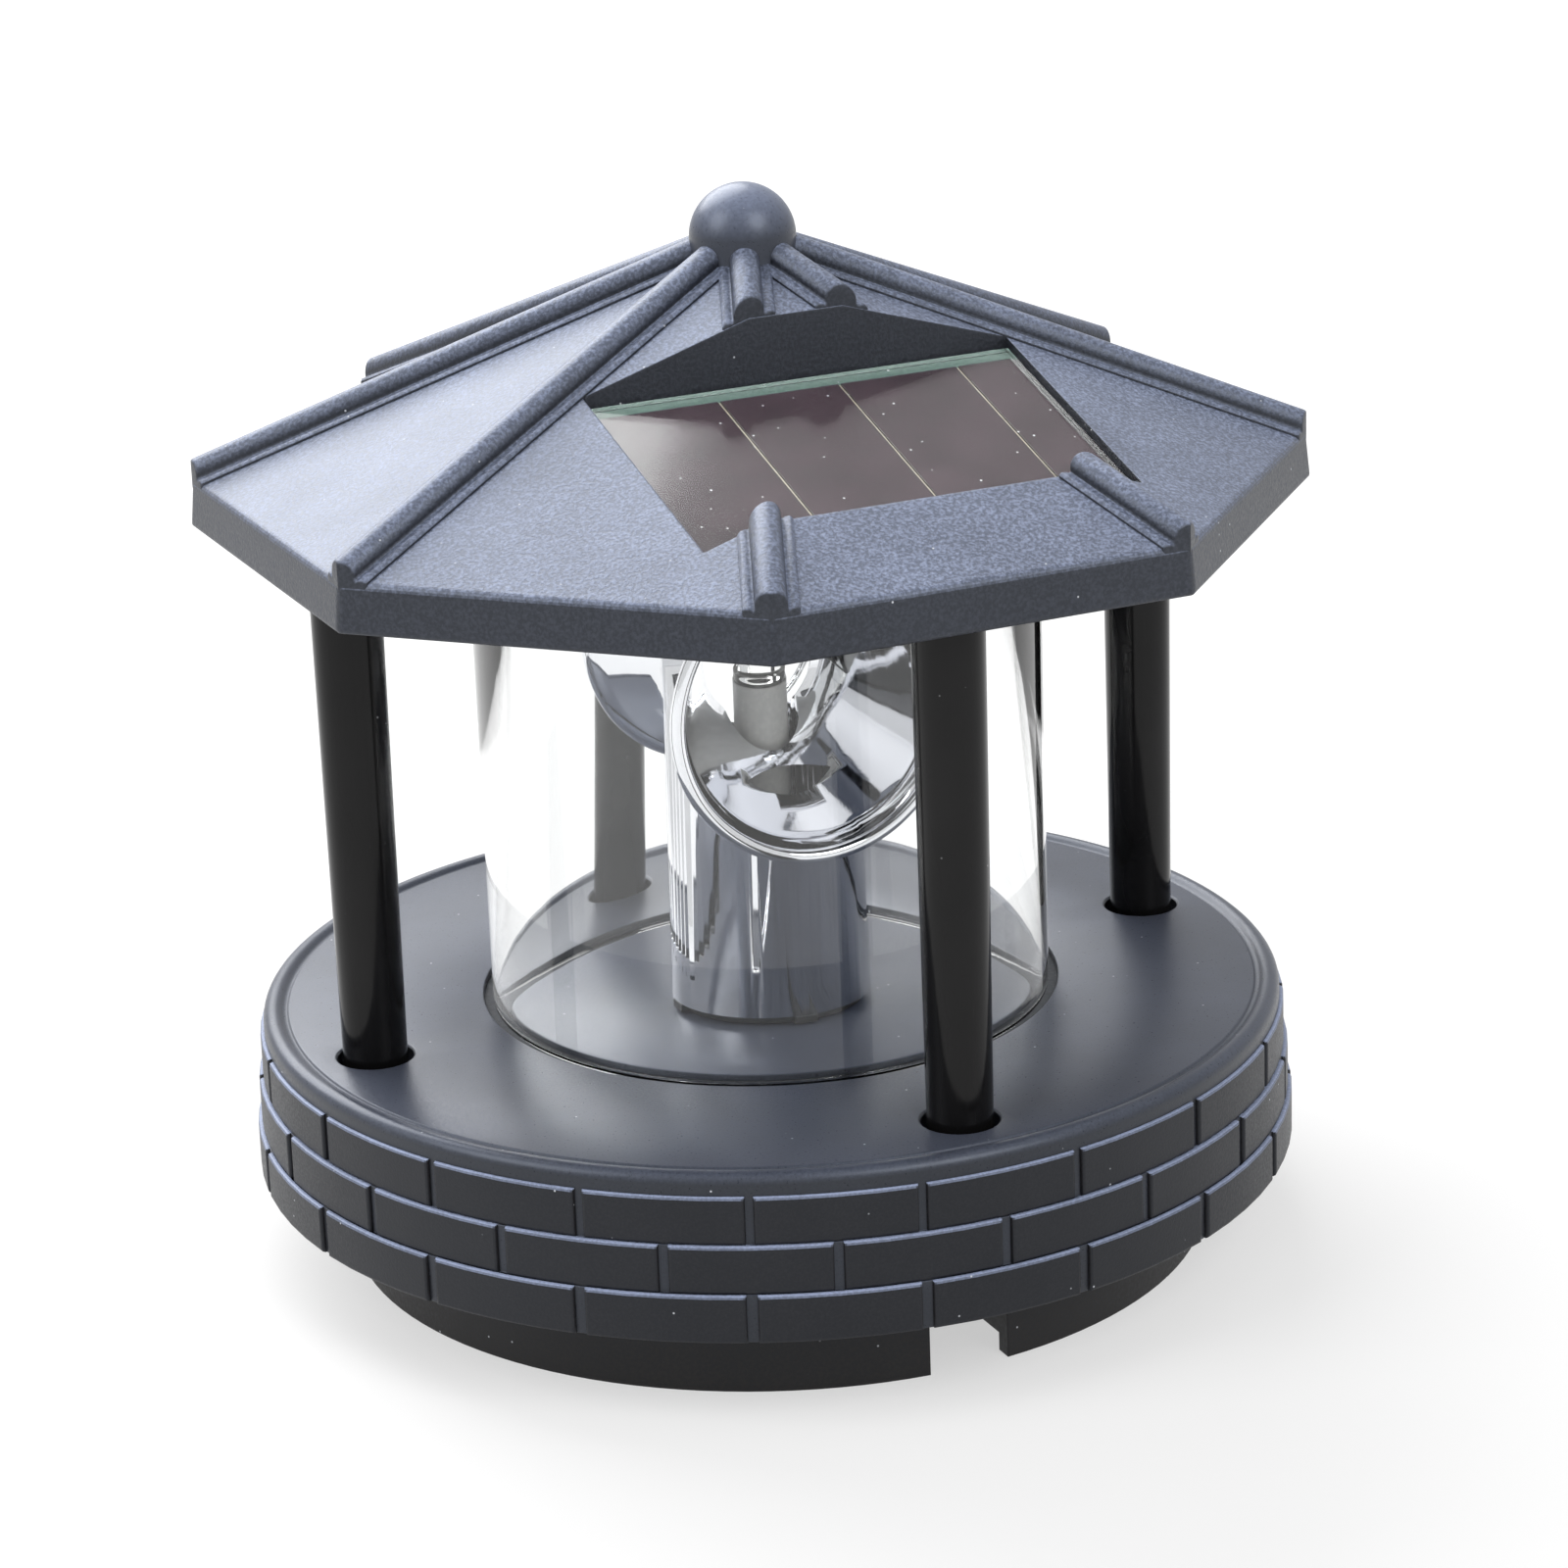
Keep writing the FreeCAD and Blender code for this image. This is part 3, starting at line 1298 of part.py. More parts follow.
def make_contact_spring():
    """The conical spring that presses on the cell: one wire whose turns close in as they rise."""
    turns = int(number("spring_turns"))
    wire_radius = number("spring_wire")
    length = number("spring_room") - 2 * wire_radius - 2 * number("spring_end_room")
    wide = number("spring_large_radius")
    narrow = number("spring_small_radius")
    start = Vector(
        number("bay_left + contact_thickness + spring_end_room") + wire_radius,
        number("battery_y"),
        number("battery_axis"),
    )

    def on_wire(angle):
        share = angle / (2 * math.pi * turns)
        radius = wide + (narrow - wide) * share
        closing = (narrow - wide) / (2 * math.pi * turns)
        point = Vector(length * share, radius * math.cos(angle), radius * math.sin(angle))
        way = Vector(
            length / (2 * math.pi * turns),
            closing * math.cos(angle) - radius * math.sin(angle),
            closing * math.sin(angle) + radius * math.cos(angle),
        )
        return start + point, way.normalize()

    quarters = [on_wire(math.pi / 2 * k) for k in range(4 * turns + 1)]
    edges = [arc for a, b in zip(quarters, quarters[1:]) for arc in biarc(*a, *b)]
    path = Part.Wire(edges)
    section = Part.makeCircle(wire_radius, *quarters[0])
    samples = [on_wire(math.pi / 12 * k)[0] for k in range(24 * turns + 1)]
    gap = min(
        (samples[i] - samples[j]).Length for i in range(len(samples)) for j in range(i + 18, len(samples))
    )
    item = document.addObject("Part::Feature", "contact_spring")
    item.Shape = path.makePipeShell([Part.Wire(section)], True, False)
    print(f"contact_spring: least gap between turns {gap - 2 * wire_radius:.2f} mm")
    node("contact_spring", item)


def make_switch():
    """The slide switch on the floor, and its slider that reaches down through the floor."""
    low_x = "switch_x - switch_width / 2"
    high_x = "switch_x + switch_width / 2"
    case = block(
        "switch_case", low_x, high_x, "-switch_length / 2", "switch_length / 2",
        "floor_top", "floor_top + switch_height",
    )
    head_reach = "(switch_travel + switch_head_length) / 2 + switch_clearance"
    pocket = block(
        "switch_pocket",
        "switch_x - switch_head_width / 2 - switch_clearance",
        "switch_x + switch_head_width / 2 + switch_clearance",
        f"-({head_reach})", head_reach, "floor_top - 1", "floor_top + switch_pocket_height",
    )
    node("switch_body", cut("switch_body", case, pocket))
    rest = "-switch_travel / 2"
    head = block(
        "slider_head",
        "switch_x - switch_head_width / 2", "switch_x + switch_head_width / 2",
        f"{rest} - switch_head_length / 2", f"{rest} + switch_head_length / 2",
        "floor_top + switch_clearance / 2", "floor_top + switch_pocket_height - switch_clearance / 2",
    )
    knob = block(
        "slider_knob",
        "switch_x - switch_knob_width / 2", "switch_x + switch_knob_width / 2",
        f"{rest} - switch_knob_length / 2", f"{rest} + switch_knob_length / 2",
        "floor_recess - switch_knob_proud", "floor_top + switch_pocket_height / 2",
    )
    node("switch_slider", joined("switch_slider", head, knob))


def make_board(board_spots):
    """The charging circuit on its bosses, with its coil, chip and capacitor."""
    slab = block(
        "board_slab", "board_left", "board_left + board_length",
        "board_near", "board_near + board_depth", "board_level", "board_top",
    )
    holes = [
        cylinder(f"board_hole_{k}", "board_peg_radius", "board_level - 1", "board_top + 1", x=x, y=y)
        for k, (x, y) in enumerate(board_spots)
    ]
    node("circuit_board", cut("circuit_board", slab, *holes))
    chip = block(
        "control_chip",
        "board_left + 0.6 * board_length - chip_length / 2",
        "board_left + 0.6 * board_length + chip_length / 2",
        "board_near + board_depth / 4",
        "board_near + board_depth / 2",
        "board_top",
        "board_top + chip_height",
    )
    coil = cylinder(
        "choke_coil", "coil_radius", "board_top", "board_top + coil_height",
        x="board_left + board_length / 3", y="board_near + 0.56 * board_depth",
    )
    capacitor = cylinder(
        "capacitor", "capacitor_radius", "board_top", "board_top + capacitor_height",
        x="board_left + 0.82 * board_length", y="board_near + 0.7 * board_depth",
    )
    node("board_components", group("board_components", chip, coil, capacitor), 3)


def lead_node(name, points, bends):
    """A round two-core lead through points in one plane, with an arc of a given radius at each corner."""
    edges = []
    start = points[0]
    for index, radius in enumerate(bends, start=1):
        corner = points[index]
        back = (points[index - 1] - corner).normalize()
        ahead = (points[index + 1] - corner).normalize()
        turn = math.pi - back.getAngle(ahead)
        reach = radius * math.tan(turn / 2)
        arc_start = corner + back * reach
        arc_end = corner + ahead * reach
        middle_direction = (back + ahead).normalize()
        to_middle = radius / math.cos(turn / 2) - radius
        edges.append(Part.LineSegment(start, arc_start).toShape())
        edges.append(Part.Arc(arc_start, corner + middle_direction * to_middle, arc_end).toShape())
        print(f"{name}: bend {index} of radius {radius:.2f} mm")
        start = arc_end
    edges.append(Part.LineSegment(start, points[-1]).toShape())
    path = Part.Wire(edges)
    section = Part.makeCircle(number("lead_radius"), points[0], points[1] - points[0])
    tube = path.makePipeShell([Part.Wire(section)], True, False)
    expected = math.pi * number("lead_radius") ** 2 * path.Length
    print(f"{name}: {path.Length:.1f} mm long, volume off by {abs(tube.Volume / expected - 1):.5f}")
    item = document.addObject("Part::Feature", name)
    item.Shape = tube
    return node(name, item)


def in_plane(y, z):
    """A point of the middle plane."""
    return Vector(0, number(y), number(z))


def make_leads():
    """The leads from the panel through the back column, from the lamp, and from the motor."""
    panel_under = "panel_height_at_axis - panel_slope * panel_lead_reach - panel_drop"
    bend = number("lead_bend")
    base_bend = number("base_lead_bend")
    lead_node(
        "panel_lead",
        [
            in_plane("-panel_lead_reach", f"{panel_under} - lead_radius * panel_slope"),
            in_plane("-panel_lead_reach", "roof_lead_level"),
            in_plane("column_circle", "roof_lead_level"),
            in_plane("column_circle", "lead_on_board"),
            in_plane("board_near + board_depth - lead_seat", "lead_on_board"),
        ],
        [bend, bend, base_bend],
    )
    lead_node(
        "lamp_lead",
        [
            in_plane("0", "lamp_foot"),
            in_plane("0", "lead_on_board"),
            in_plane("board_near + lead_seat", "lead_on_board"),
        ],
        [base_bend],
    )
    item = primitive(
        "Cylinder",
        "motor_lead_run",
        {"Radius": "lead_radius", "Height": "board_left + lead_seat - 2 * lead_radius - motor_x"},
        x="motor_x",
        y="motor_lead_y",
        z="lead_on_board",
        axis=(0, 1, 0),
        angle="90",
    )
    case = cylinder(
        "motor_lead_end", "motor_radius + lead_seat_gap", "motor_low", "plate_level", x="motor_x", y="motor_y"
    )
    node("motor_lead", cut("motor_lead", item, case))


# ---------------------------------------------------------------- screws


def screw(name, head_level, up):
    """A pan-head screw on the vertical axis, its head's seat at a level, pointing up or down."""
    direction = 1 if up else -1
    head = cylinder(
        f"{name}_head", "screw_head_radius",
        head_level if not up else f"{head_level} - screw_head_height",
        f"{head_level} + screw_head_height" if not up else head_level,
    )
    low, high = ("0", "screw_length") if up else ("-screw_length", "0")
    shank = cylinder(f"{name}_shank", "screw_radius", f"{head_level} + {low}", f"{head_level} + {high}")
    top = f"{head_level} - {direction} * screw_head_height"
    slots = [
        block(
            f"{name}_cross_{k}", f"-{wide} / 2", f"{wide} / 2", f"-{deep} / 2", f"{deep} / 2",
            f"{top} - screw_cross_depth", f"{top} + screw_cross_depth",
        )
        for k, (wide, deep) in enumerate(
            (("screw_cross_length", "screw_cross_width"), ("screw_cross_width", "screw_cross_length"))
        )
    ]
    return cut(name, joined(f"{name}_solid", head, shank), *slots)


def make_screws():
    """Every set of like screws is one group."""
    diagonals = [(f"cos({45 + 90 * k})", f"sin({45 + 90 * k})") for k in range(4)]
    cover = screw("cover_screw", "spigot_height + screw_head_height", True)
    spots = [(f"cover_screw_circle * {c}", f"cover_screw_circle * {s}", "0") for c, s in diagonals]
    node("cover_screws", group("cover_screws", *copies_at(cover, spots)), 4)

    roof = screw("roof_screw", "ceiling_low", True)
    spots = [(f"roof_screw_circle * {c}", f"roof_screw_circle * {s}", "0") for c, s in diagonals]
    node("roof_screws", group("roof_screws", *copies_at(roof, spots)), 4)

    column = screw("column_screw", "socket_low", True)
    spots = [("column_circle", "0", "0"), ("-column_circle", "0", "0"), ("0", "-column_circle", "0")]
    node("column_screws", group("column_screws", *copies_at(column, spots)), 3)

    plate = screw("plate_screw", "plate_level", True)
    spots = [(x, y, "0") for x, y in PLATE_POSTS]
    node("plate_screws", group("plate_screws", *copies_at(plate, spots)), 3)

    sink = "plate_top - motor_screw_head_height"
    screws = []
    for index, x in enumerate(MOTOR_SCREW_X):
        head = cylinder(f"motor_head_{index}", "motor_screw_head", sink, "plate_top", x=x, y="motor_y")
        shank = cylinder(
            f"motor_shank_{index}", "motor_screw_radius", f"{sink} - motor_screw_length", sink, x=x, y="motor_y"
        )
        screws.append(joined(f"motor_screw_{index}", head, shank))
    node("motor_screws", group("motor_screws", *screws), 2)


# ---------------------------------------------------------------- build, check and write


def check_and_write():
    """Stops if any object failed, then writes each sub-part to its own file."""
    document.recompute()
    for item in document.Objects:
        if {"Invalid", "Error"} & set(item.State):
            raise RuntimeError(f"{item.Name} failed: {item.State}")
    os.makedirs("parts", exist_ok=True)
    for name, (item, solids) in pieces.items():
        shape = item.Shape
        if shape.isNull() or not shape.isValid():
            raise RuntimeError(f"{name} has no valid shape")
        if len(shape.Solids) != solids:
            raise RuntimeError(f"{name} is {len(shape.Solids)} solids, not {solids}")
        shape.exportStep(f"parts/{name}.step")
        box = shape.BoundBox
        print(
            f"{name}: x {box.XMin:.2f} {box.XMax:.2f}, y {box.YMin:.2f} {box.YMax:.2f}, "
            f"z {box.ZMin:.2f} {box.ZMax:.2f}, volume {shape.Volume:.1f}"
        )


fill_sheet()
make_base_housing()
peg_spots = make_bottom_cover()
column_cones = make_columns()
make_lens()
make_roof()
make_finial()
make_ceiling(column_cones)
make_solar_panel()
make_mirror()
make_turntable()
make_gears()
make_gearbox()
make_motor()
make_lamp()
make_battery()
make_switch()
make_board(peg_spots)
make_leads()
make_screws()
check_and_write()
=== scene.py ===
import math

import bmesh
import bpy
from bpy.props import FloatProperty, FloatVectorProperty, IntProperty, PointerProperty
from mathutils import Matrix, Vector


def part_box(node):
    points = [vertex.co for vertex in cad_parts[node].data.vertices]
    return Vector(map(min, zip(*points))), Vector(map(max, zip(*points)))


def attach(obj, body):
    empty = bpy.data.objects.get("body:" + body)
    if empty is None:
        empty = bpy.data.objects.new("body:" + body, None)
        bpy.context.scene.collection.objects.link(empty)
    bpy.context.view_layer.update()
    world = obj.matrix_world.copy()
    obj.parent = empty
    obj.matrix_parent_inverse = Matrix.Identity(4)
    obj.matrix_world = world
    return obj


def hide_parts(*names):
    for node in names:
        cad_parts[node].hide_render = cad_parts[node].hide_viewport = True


bl_info = {
    "name": "Lighthouse Lantern",
    "version": (1, 0, 0),
    "blender": (4, 5, 0),
    "location": "View3D > Sidebar > Lantern",
    "description": "Dresses the lighthouse lantern ornament, piece by piece",
    "category": "Object",
}

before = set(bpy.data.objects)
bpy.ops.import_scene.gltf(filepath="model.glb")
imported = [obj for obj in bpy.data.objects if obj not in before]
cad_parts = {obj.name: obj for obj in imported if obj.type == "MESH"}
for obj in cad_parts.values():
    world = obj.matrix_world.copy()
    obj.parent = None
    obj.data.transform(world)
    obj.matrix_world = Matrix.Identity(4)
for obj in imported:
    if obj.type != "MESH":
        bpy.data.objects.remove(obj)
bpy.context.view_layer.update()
TURN = 2 * math.pi

# Sizes in metres that more than one piece is built from.
COLUMN_RING = 0.0465
COLUMN_COUNT = 4
PANEL_SLOPE = 0.308
PANEL_LEVEL_AT_AXIS = 0.1027

# Colours put on the plastics: a painted sheen, the pale blue of the sky's reflection, on what faces up; and
# the pale grey of dust specks.
SKY_SHEEN_COLOUR = (0.36, 0.42, 0.60, 1)
SPECK = (0.62, 0.64, 0.68, 1)


# ---------------------------------------------------------------- sizes and colours


class LanternSizes(bpy.types.PropertyGroup):
    """Sizes of the ornament, in metres, that its looks are built from."""

    deck_level: FloatProperty(
        name="Deck level", description="Height of the deck", default=0.0276, unit="LENGTH"
    )
    skirt_foot: FloatProperty(
        name="Skirt foot", description="Lower edge of the bricks", default=0.010, unit="LENGTH"
    )
    skirt_radius: FloatProperty(
        name="Skirt radius", description="Outer radius of the lowest course", default=0.0573, unit="LENGTH"
    )
    course_height: FloatProperty(
        name="Course height", description="Height of one course of bricks", default=0.0052, unit="LENGTH"
    )
    course_step: FloatProperty(
        name="Course step",
        description="How far each course stands out from the next",
        default=0.00045,
        unit="LENGTH",
    )
    brick_joint: FloatProperty(
        name="Brick joint", description="Width of the joint between bricks", default=0.00115, unit="LENGTH"
    )
    bricks: IntProperty(name="Bricks", description="Bricks in one course", default=20)
    courses: IntProperty(name="Courses", description="Courses of bricks", default=3)
    eaves_low: FloatProperty(
        name="Eaves level", description="Lower edge of the roof", default=0.082, unit="LENGTH"
    )
    eaves_high: FloatProperty(
        name="Eaves top", description="Upper edge of the fascia", default=0.0871, unit="LENGTH"
    )
    corner_low: FloatProperty(
        name="Lower corner radius", description="Roof corner at its lower edge", default=0.060, unit="LENGTH"
    )
    corner_high: FloatProperty(
        name="Upper corner radius",
        description="Roof corner at the fascia's top",
        default=0.0595,
        unit="LENGTH",
    )
    hip_slope: FloatProperty(name="Hip slope", description="Rise of a hip over its run", default=0.4)
    roof_sides: IntProperty(name="Roof sides", description="Sides of the roof", default=8)
    rib_radius: FloatProperty(
        name="Rib radius", description="Radius of a hip rib's bead", default=0.0016, unit="LENGTH"
    )


class LanternColours(bpy.types.PropertyGroup):
    """Base colours of the finishes."""

    roof: FloatVectorProperty(
        name="Roof",
        description="Grained plastic of the roof",
        subtype="COLOR",
        default=(0.017, 0.0182, 0.024),
    )
    deck: FloatVectorProperty(
        name="Deck",
        description="Satin plastic of the deck",
        subtype="COLOR",
        default=(0.018, 0.019, 0.023),
    )
    brick: FloatVectorProperty(
        name="Brick",
        description="Duller plastic of the bricks",
        subtype="COLOR",
        default=(0.013, 0.0125, 0.0135),
    )
    column: FloatVectorProperty(
        name="Column",
        description="Glossy plastic of the columns",
        subtype="COLOR",
        default=(0.006, 0.0058, 0.006),
    )
    chrome: FloatVectorProperty(
        name="Chrome",
        description="Plating of the mirror",
        subtype="COLOR",
        default=(0.86, 0.87, 0.9),
    )
    cell: FloatVectorProperty(
        name="Cell",
        description="Solar cells",
        subtype="COLOR",
        default=(0.05, 0.03, 0.038),
    )


def sizes():
    return bpy.context.scene.lantern_sizes


def colours():
    return bpy.context.scene.lantern_colours


# ---------------------------------------------------------------- materials


def new_node(tree, kind, inputs, settings):
    """A node with its settings. An input is a value, or an output that is linked to it."""
    made = tree.nodes.new(kind)
    for key, value in settings.items():
        setattr(made, key, value)
    for key, value in (inputs or {}).items():
        if isinstance(value, bpy.types.NodeSocket):
            tree.links.new(value, made.inputs[key])
        else:
            made.inputs[key].default_value = value
    return made


class Finish:
    """A material made of nodes, one short line for each."""

    def __init__(self, name):
        self.material = bpy.data.materials.new(name)
        self.material.use_nodes = True
        self.tree = self.material.node_tree
        self.tree.nodes.clear()
        self.output = self.tree.nodes.new("ShaderNodeOutputMaterial")
        coordinates = self.tree.nodes.new("ShaderNodeTexCoord")
        self.place = coordinates.outputs["Object"]
        self.facing = coordinates.outputs["Normal"]

    def node(self, kind, inputs=None, **settings):
        return new_node(self.tree, f"ShaderNode{kind}", inputs, settings)

    def stretched(self, scale):
        return self.node("Mapping", {"Vector": self.place, "Scale": scale}).outputs["Vector"]

    def noise(self, scale, detail=2.0, place=None, roughness=0.5):
        inputs = {"Vector": place or self.place, "Scale": scale, "Detail": detail, "Roughness": roughness}
        return self.node("TexNoise", inputs).outputs["Fac"]

    def ramp(self, source, low, high, dark=0.0, light=1.0):
        inputs = {"Value": source, "From Min": low, "From Max": high, "To Min": dark, "To Max": light}
        return self.node("MapRange", inputs).outputs["Result"]

    def mix(self, share, first, second):
        made = self.node("Mix", {0: share, 6: first, 7: second}, data_type="RGBA")
        return made.outputs[2]

    def maths(self, operation, first, second):
        return self.node("Math", {0: first, 1: second}, operation=operation).outputs[0]

    def bump(self, height, distance, strength=1.0, normal=None):
        inputs = {"Height": height, "Distance": distance, "Strength": strength}
        if normal:
            inputs["Normal"] = normal
        return self.node("Bump", inputs).outputs["Normal"]

    def soft_edges(self, radius):
        return self.node("Bevel", {"Radius": radius}, samples=4).outputs["Normal"]

    def shader(self, **inputs):
        named = {key.replace("_", " "): value for key, value in inputs.items()}
        return self.node("BsdfPrincipled", named)

    def finish(self, shader):
        self.tree.links.new(shader.outputs[0], self.output.inputs["Surface"])
        return self.material


def tint(colour, factor=1.0):
    return (*(min(1.0, c * factor) for c in colour), 1.0)


def dust(finish, share, scale):
    """Small pale specks, few and scattered."""
    cells = finish.node("TexVoronoi", {"Vector": finish.place, "Scale": scale})
    near = finish.ramp(cells.outputs["Distance"], 0.10, 0.04)
    random = finish.node("SeparateColor", {0: cells.outputs["Color"]}).outputs[0]
    chosen = finish.ramp(random, share, share + 0.02)
    return finish.maths("MULTIPLY", near, chosen)


def grained_plastic(
    name, colour, grain=0.00035, depth=0.00005, speckle=0.35, roughness=0.55, edge=0.0003, painted_sheen=0.0, shine=0.6
):
    """Moulded plastic with a spark-eroded grain, specks of dust, and a painted sheen on what faces up: a pale
    blue that stands in for the sky's reflection.
    """
    f = Finish(name)
    fine = f.noise(1 / grain, 3.0, roughness=0.6)
    broad = f.noise(90.0, 4.0)
    speckled = f.ramp(fine, 0.42, 0.68, 1 - speckle, 1 + speckle)
    clouded = f.ramp(broad, 0.3, 0.7, 0.9, 1.1)
    value = f.maths("MULTIPLY", speckled, clouded)
    colour_now = f.node("VectorMath", {0: tint(colour)[:3], "Scale": value}, operation="SCALE").outputs[0]
    # Painted sheen: the more a face turns up, the more pale blue is painted on it, in place of the reflection
    # of the sky.
    if painted_sheen:
        upward = f.node("SeparateXYZ", {0: f.facing}).outputs[2]
        sheen_share = f.maths("MULTIPLY", f.ramp(upward, 0.08, 0.85, 0.0, painted_sheen), speckled)
        sheen_share = f.maths("MULTIPLY", sheen_share, f.ramp(broad, 0.25, 0.75, 0.8, 1.2))
        colour_now = f.mix(sheen_share, colour_now, SKY_SHEEN_COLOUR)
    specks = dust(f, share=0.9, scale=700.0)
    colour_now = f.mix(specks, colour_now, SPECK)
    normal = f.bump(fine, depth, 0.8, f.soft_edges(edge))
    rough = f.ramp(fine, 0.3, 0.7, roughness - 0.08, roughness + 0.1)
    tinted = f.shader(Base_Color=colour_now, Roughness=rough, Normal=normal, Specular_IOR_Level=shine)
    tinted.inputs["Specular Tint"].default_value = (0.8, 0.87, 1.0, 1)
    return f.finish(tinted)


def glossy_plastic(name, colour, roughness=0.12, edge=0.0002):
    """Polished plastic with faint draw marks along Z."""
    f = Finish(name)
    drawn = f.noise(1.0, 3.0, f.stretched((2600, 2600, 18)))
    broad = f.noise(60.0, 3.0)
    colour_now = f.mix(f.ramp(broad, 0.3, 0.7), tint(colour, 0.7), tint(colour, 1.5))
    specks = dust(f, share=0.93, scale=800.0)
    colour_now = f.mix(specks, colour_now, (0.35, 0.35, 0.36, 1))
    normal = f.bump(drawn, 0.000012, 0.5, f.soft_edges(edge))
    rough = f.ramp(drawn, 0.3, 0.7, roughness - 0.04, roughness + 0.08)
    return f.finish(f.shader(Base_Color=colour_now, Roughness=rough, Normal=normal, Specular_IOR_Level=0.2))


def plain_metal(name, colour, roughness=0.3, drawn=(900, 900, 40)):
    """Metal with a fine directional finish."""
    f = Finish(name)
    streaks = f.noise(1.0, 4.0, f.stretched(drawn))
    colour_now = f.mix(f.ramp(streaks, 0.3, 0.7), tint(colour, 0.85), tint(colour, 1.08))
    rough = f.ramp(streaks, 0.3, 0.7, roughness - 0.07, roughness + 0.1)
    normal = f.bump(streaks, 0.00001, 0.4, f.soft_edges(0.0001))
    return f.finish(f.shader(Base_Color=colour_now, Metallic=1.0, Roughness=rough, Normal=normal))


def chrome_plate(name, colour):
    """Vacuum plating on plastic: bright, with faint waves and hairlines."""
    f = Finish(name)
    waves = f.noise(110.0, 2.0)
    hairlines = f.noise(1.0, 2.0, f.stretched((3000, 3000, 60)))
    normal = f.bump(waves, 0.00012, 0.35)
    normal = f.bump(hairlines, 0.000004, 0.3, normal)
    rough = f.ramp(hairlines, 0.4, 0.8, 0.03, 0.09)
    return f.finish(f.shader(Base_Color=tint(colour), Metallic=1.0, Roughness=rough, Normal=normal))


def clear_plastic(name, colour, roughness=0.02, ior=1.47):
    """Clear moulded plastic that lets the lamps' light through."""
    f = Finish(name)
    waves = f.noise(1.0, 2.0, f.stretched((120, 120, 20)))
    normal = f.bump(waves, 0.00003, 0.4)
    solid = f.shader(
        Base_Color=tint(colour), Transmission_Weight=1.0, IOR=ior, Roughness=roughness, Normal=normal
    )
    open_to_light = f.node("BsdfTransparent", {"Color": tint(colour)})
    shadow = f.node("LightPath").outputs["Is Shadow Ray"]
    both = f.node("MixShader", {0: shadow, 1: solid.outputs[0], 2: open_to_light.outputs[0]})
    return f.finish(both)


# ---------------------------------------------------------------- mesh helpers


def piece_from(bm, name, material, sharp=35):
    """A finished object from a bmesh, smooth but for its sharp edges."""
    mesh = bpy.data.meshes.new(name)
    bm.to_mesh(mesh)
    bm.free()
    return piece_of(mesh, name, material, sharp)


def piece_of(mesh, name, material, sharp=35):
    """A finished object from a mesh."""
    mesh.shade_smooth()
    mesh.set_sharp_from_angle(angle=math.radians(sharp))
    mesh.materials.clear()
    mesh.materials.append(material)
    item = bpy.data.objects.new(name, mesh)
    bpy.context.scene.collection.objects.link(item)
    return item


def applied(item):
    """Turns an object's modifiers into plain mesh."""
    graph = bpy.context.evaluated_depsgraph_get()
    mesh = bpy.data.meshes.new_from_object(item.evaluated_get(graph))
    item.modifiers.clear()
    old = item.data
    item.data = mesh
    bpy.data.meshes.remove(old)
    return item


def rounded(points, radius, steps=3):
    """An outline whose corners are rounded. A point may carry its own radius as a third value."""
    result = []
    count = len(points)
    for index, point in enumerate(points):
        corner = Vector(point[:2])
        wanted = point[2] if len(point) > 2 else radius
        back = Vector(points[index - 1][:2]) - corner
        ahead = Vector(points[(index + 1) % count][:2]) - corner
        if wanted <= 0 or back.length < 1e-9 or ahead.length < 1e-9:
            result.append(corner)
            continue
        half_turn = (math.pi - back.angle(ahead)) / 2
        reach = min(wanted * math.tan(half_turn), 0.45 * back.length, 0.45 * ahead.length)
        start = corner + back.normalized() * reach
        end = corner + ahead.normalized() * reach
        for step in range(steps + 1):
            t = step / steps
            result.append((1 - t) ** 2 * start + 2 * t * (1 - t) * corner + t * t * end)
    return result


def turned(bm, outline, sides=160, centre=(0, 0)):
    """A closed outline of (radius, height) points in metres, turned about a vertical axis."""
    rings = []
    for radius, height in outline:
        if radius < 1e-7:
            rings.append([bm.verts.new((centre[0], centre[1], height))] * sides)
            continue
        ring = []
        for k in range(sides):
            angle = TURN * k / sides
            across = centre[0] + radius * math.cos(angle)
            along = centre[1] + radius * math.sin(angle)
            ring.append(bm.verts.new((across, along, height)))
        rings.append(ring)
    for index, ring in enumerate(rings):
        above = rings[(index + 1) % len(rings)]
        for k in range(sides):
            corners = [ring[k], ring[(k + 1) % sides], above[(k + 1) % sides], above[k]]
            unique = list(dict.fromkeys(corners))
            if len(unique) > 2:
                bm.faces.new(unique)
    bmesh.ops.recalc_face_normals(bm, faces=bm.faces)


def turned_piece(name, material, outline, sides=160, centre=(0, 0), corner=0.0003):
    """A finished object from a turned outline whose corners are rounded."""
    bm = bmesh.new()
    turned(bm, rounded(outline, corner), sides, centre)
    return piece_from(bm, name, material)


def combined(item, other, operation="DIFFERENCE"):
    """A piece with a closed mesh taken out of it, added to it, or with only what both share kept."""
    modifier = item.modifiers.new("combine", "BOOLEAN")
    modifier.operation = operation
    modifier.solver = "EXACT"
    modifier.object = other
    applied(item)
    bpy.data.objects.remove(other)
    return item


def softened(item, width, angle):
    """A piece whose edges are rounded where they turn by more than an angle in degrees."""
    modifier = item.modifiers.new("round", "BEVEL")
    modifier.width = width
    modifier.segments = 3
    modifier.limit_method = "ANGLE"
    modifier.angle_limit = math.radians(angle)
    return applied(item)


def cad_mesh(name):
    """The mesh of a CAD node, with its corners joined, to work on as a copy."""
    bm = bmesh.new()
    bm.from_mesh(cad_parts[name].data)
    bmesh.ops.remove_doubles(bm, verts=bm.verts, dist=1e-6)
    return bm


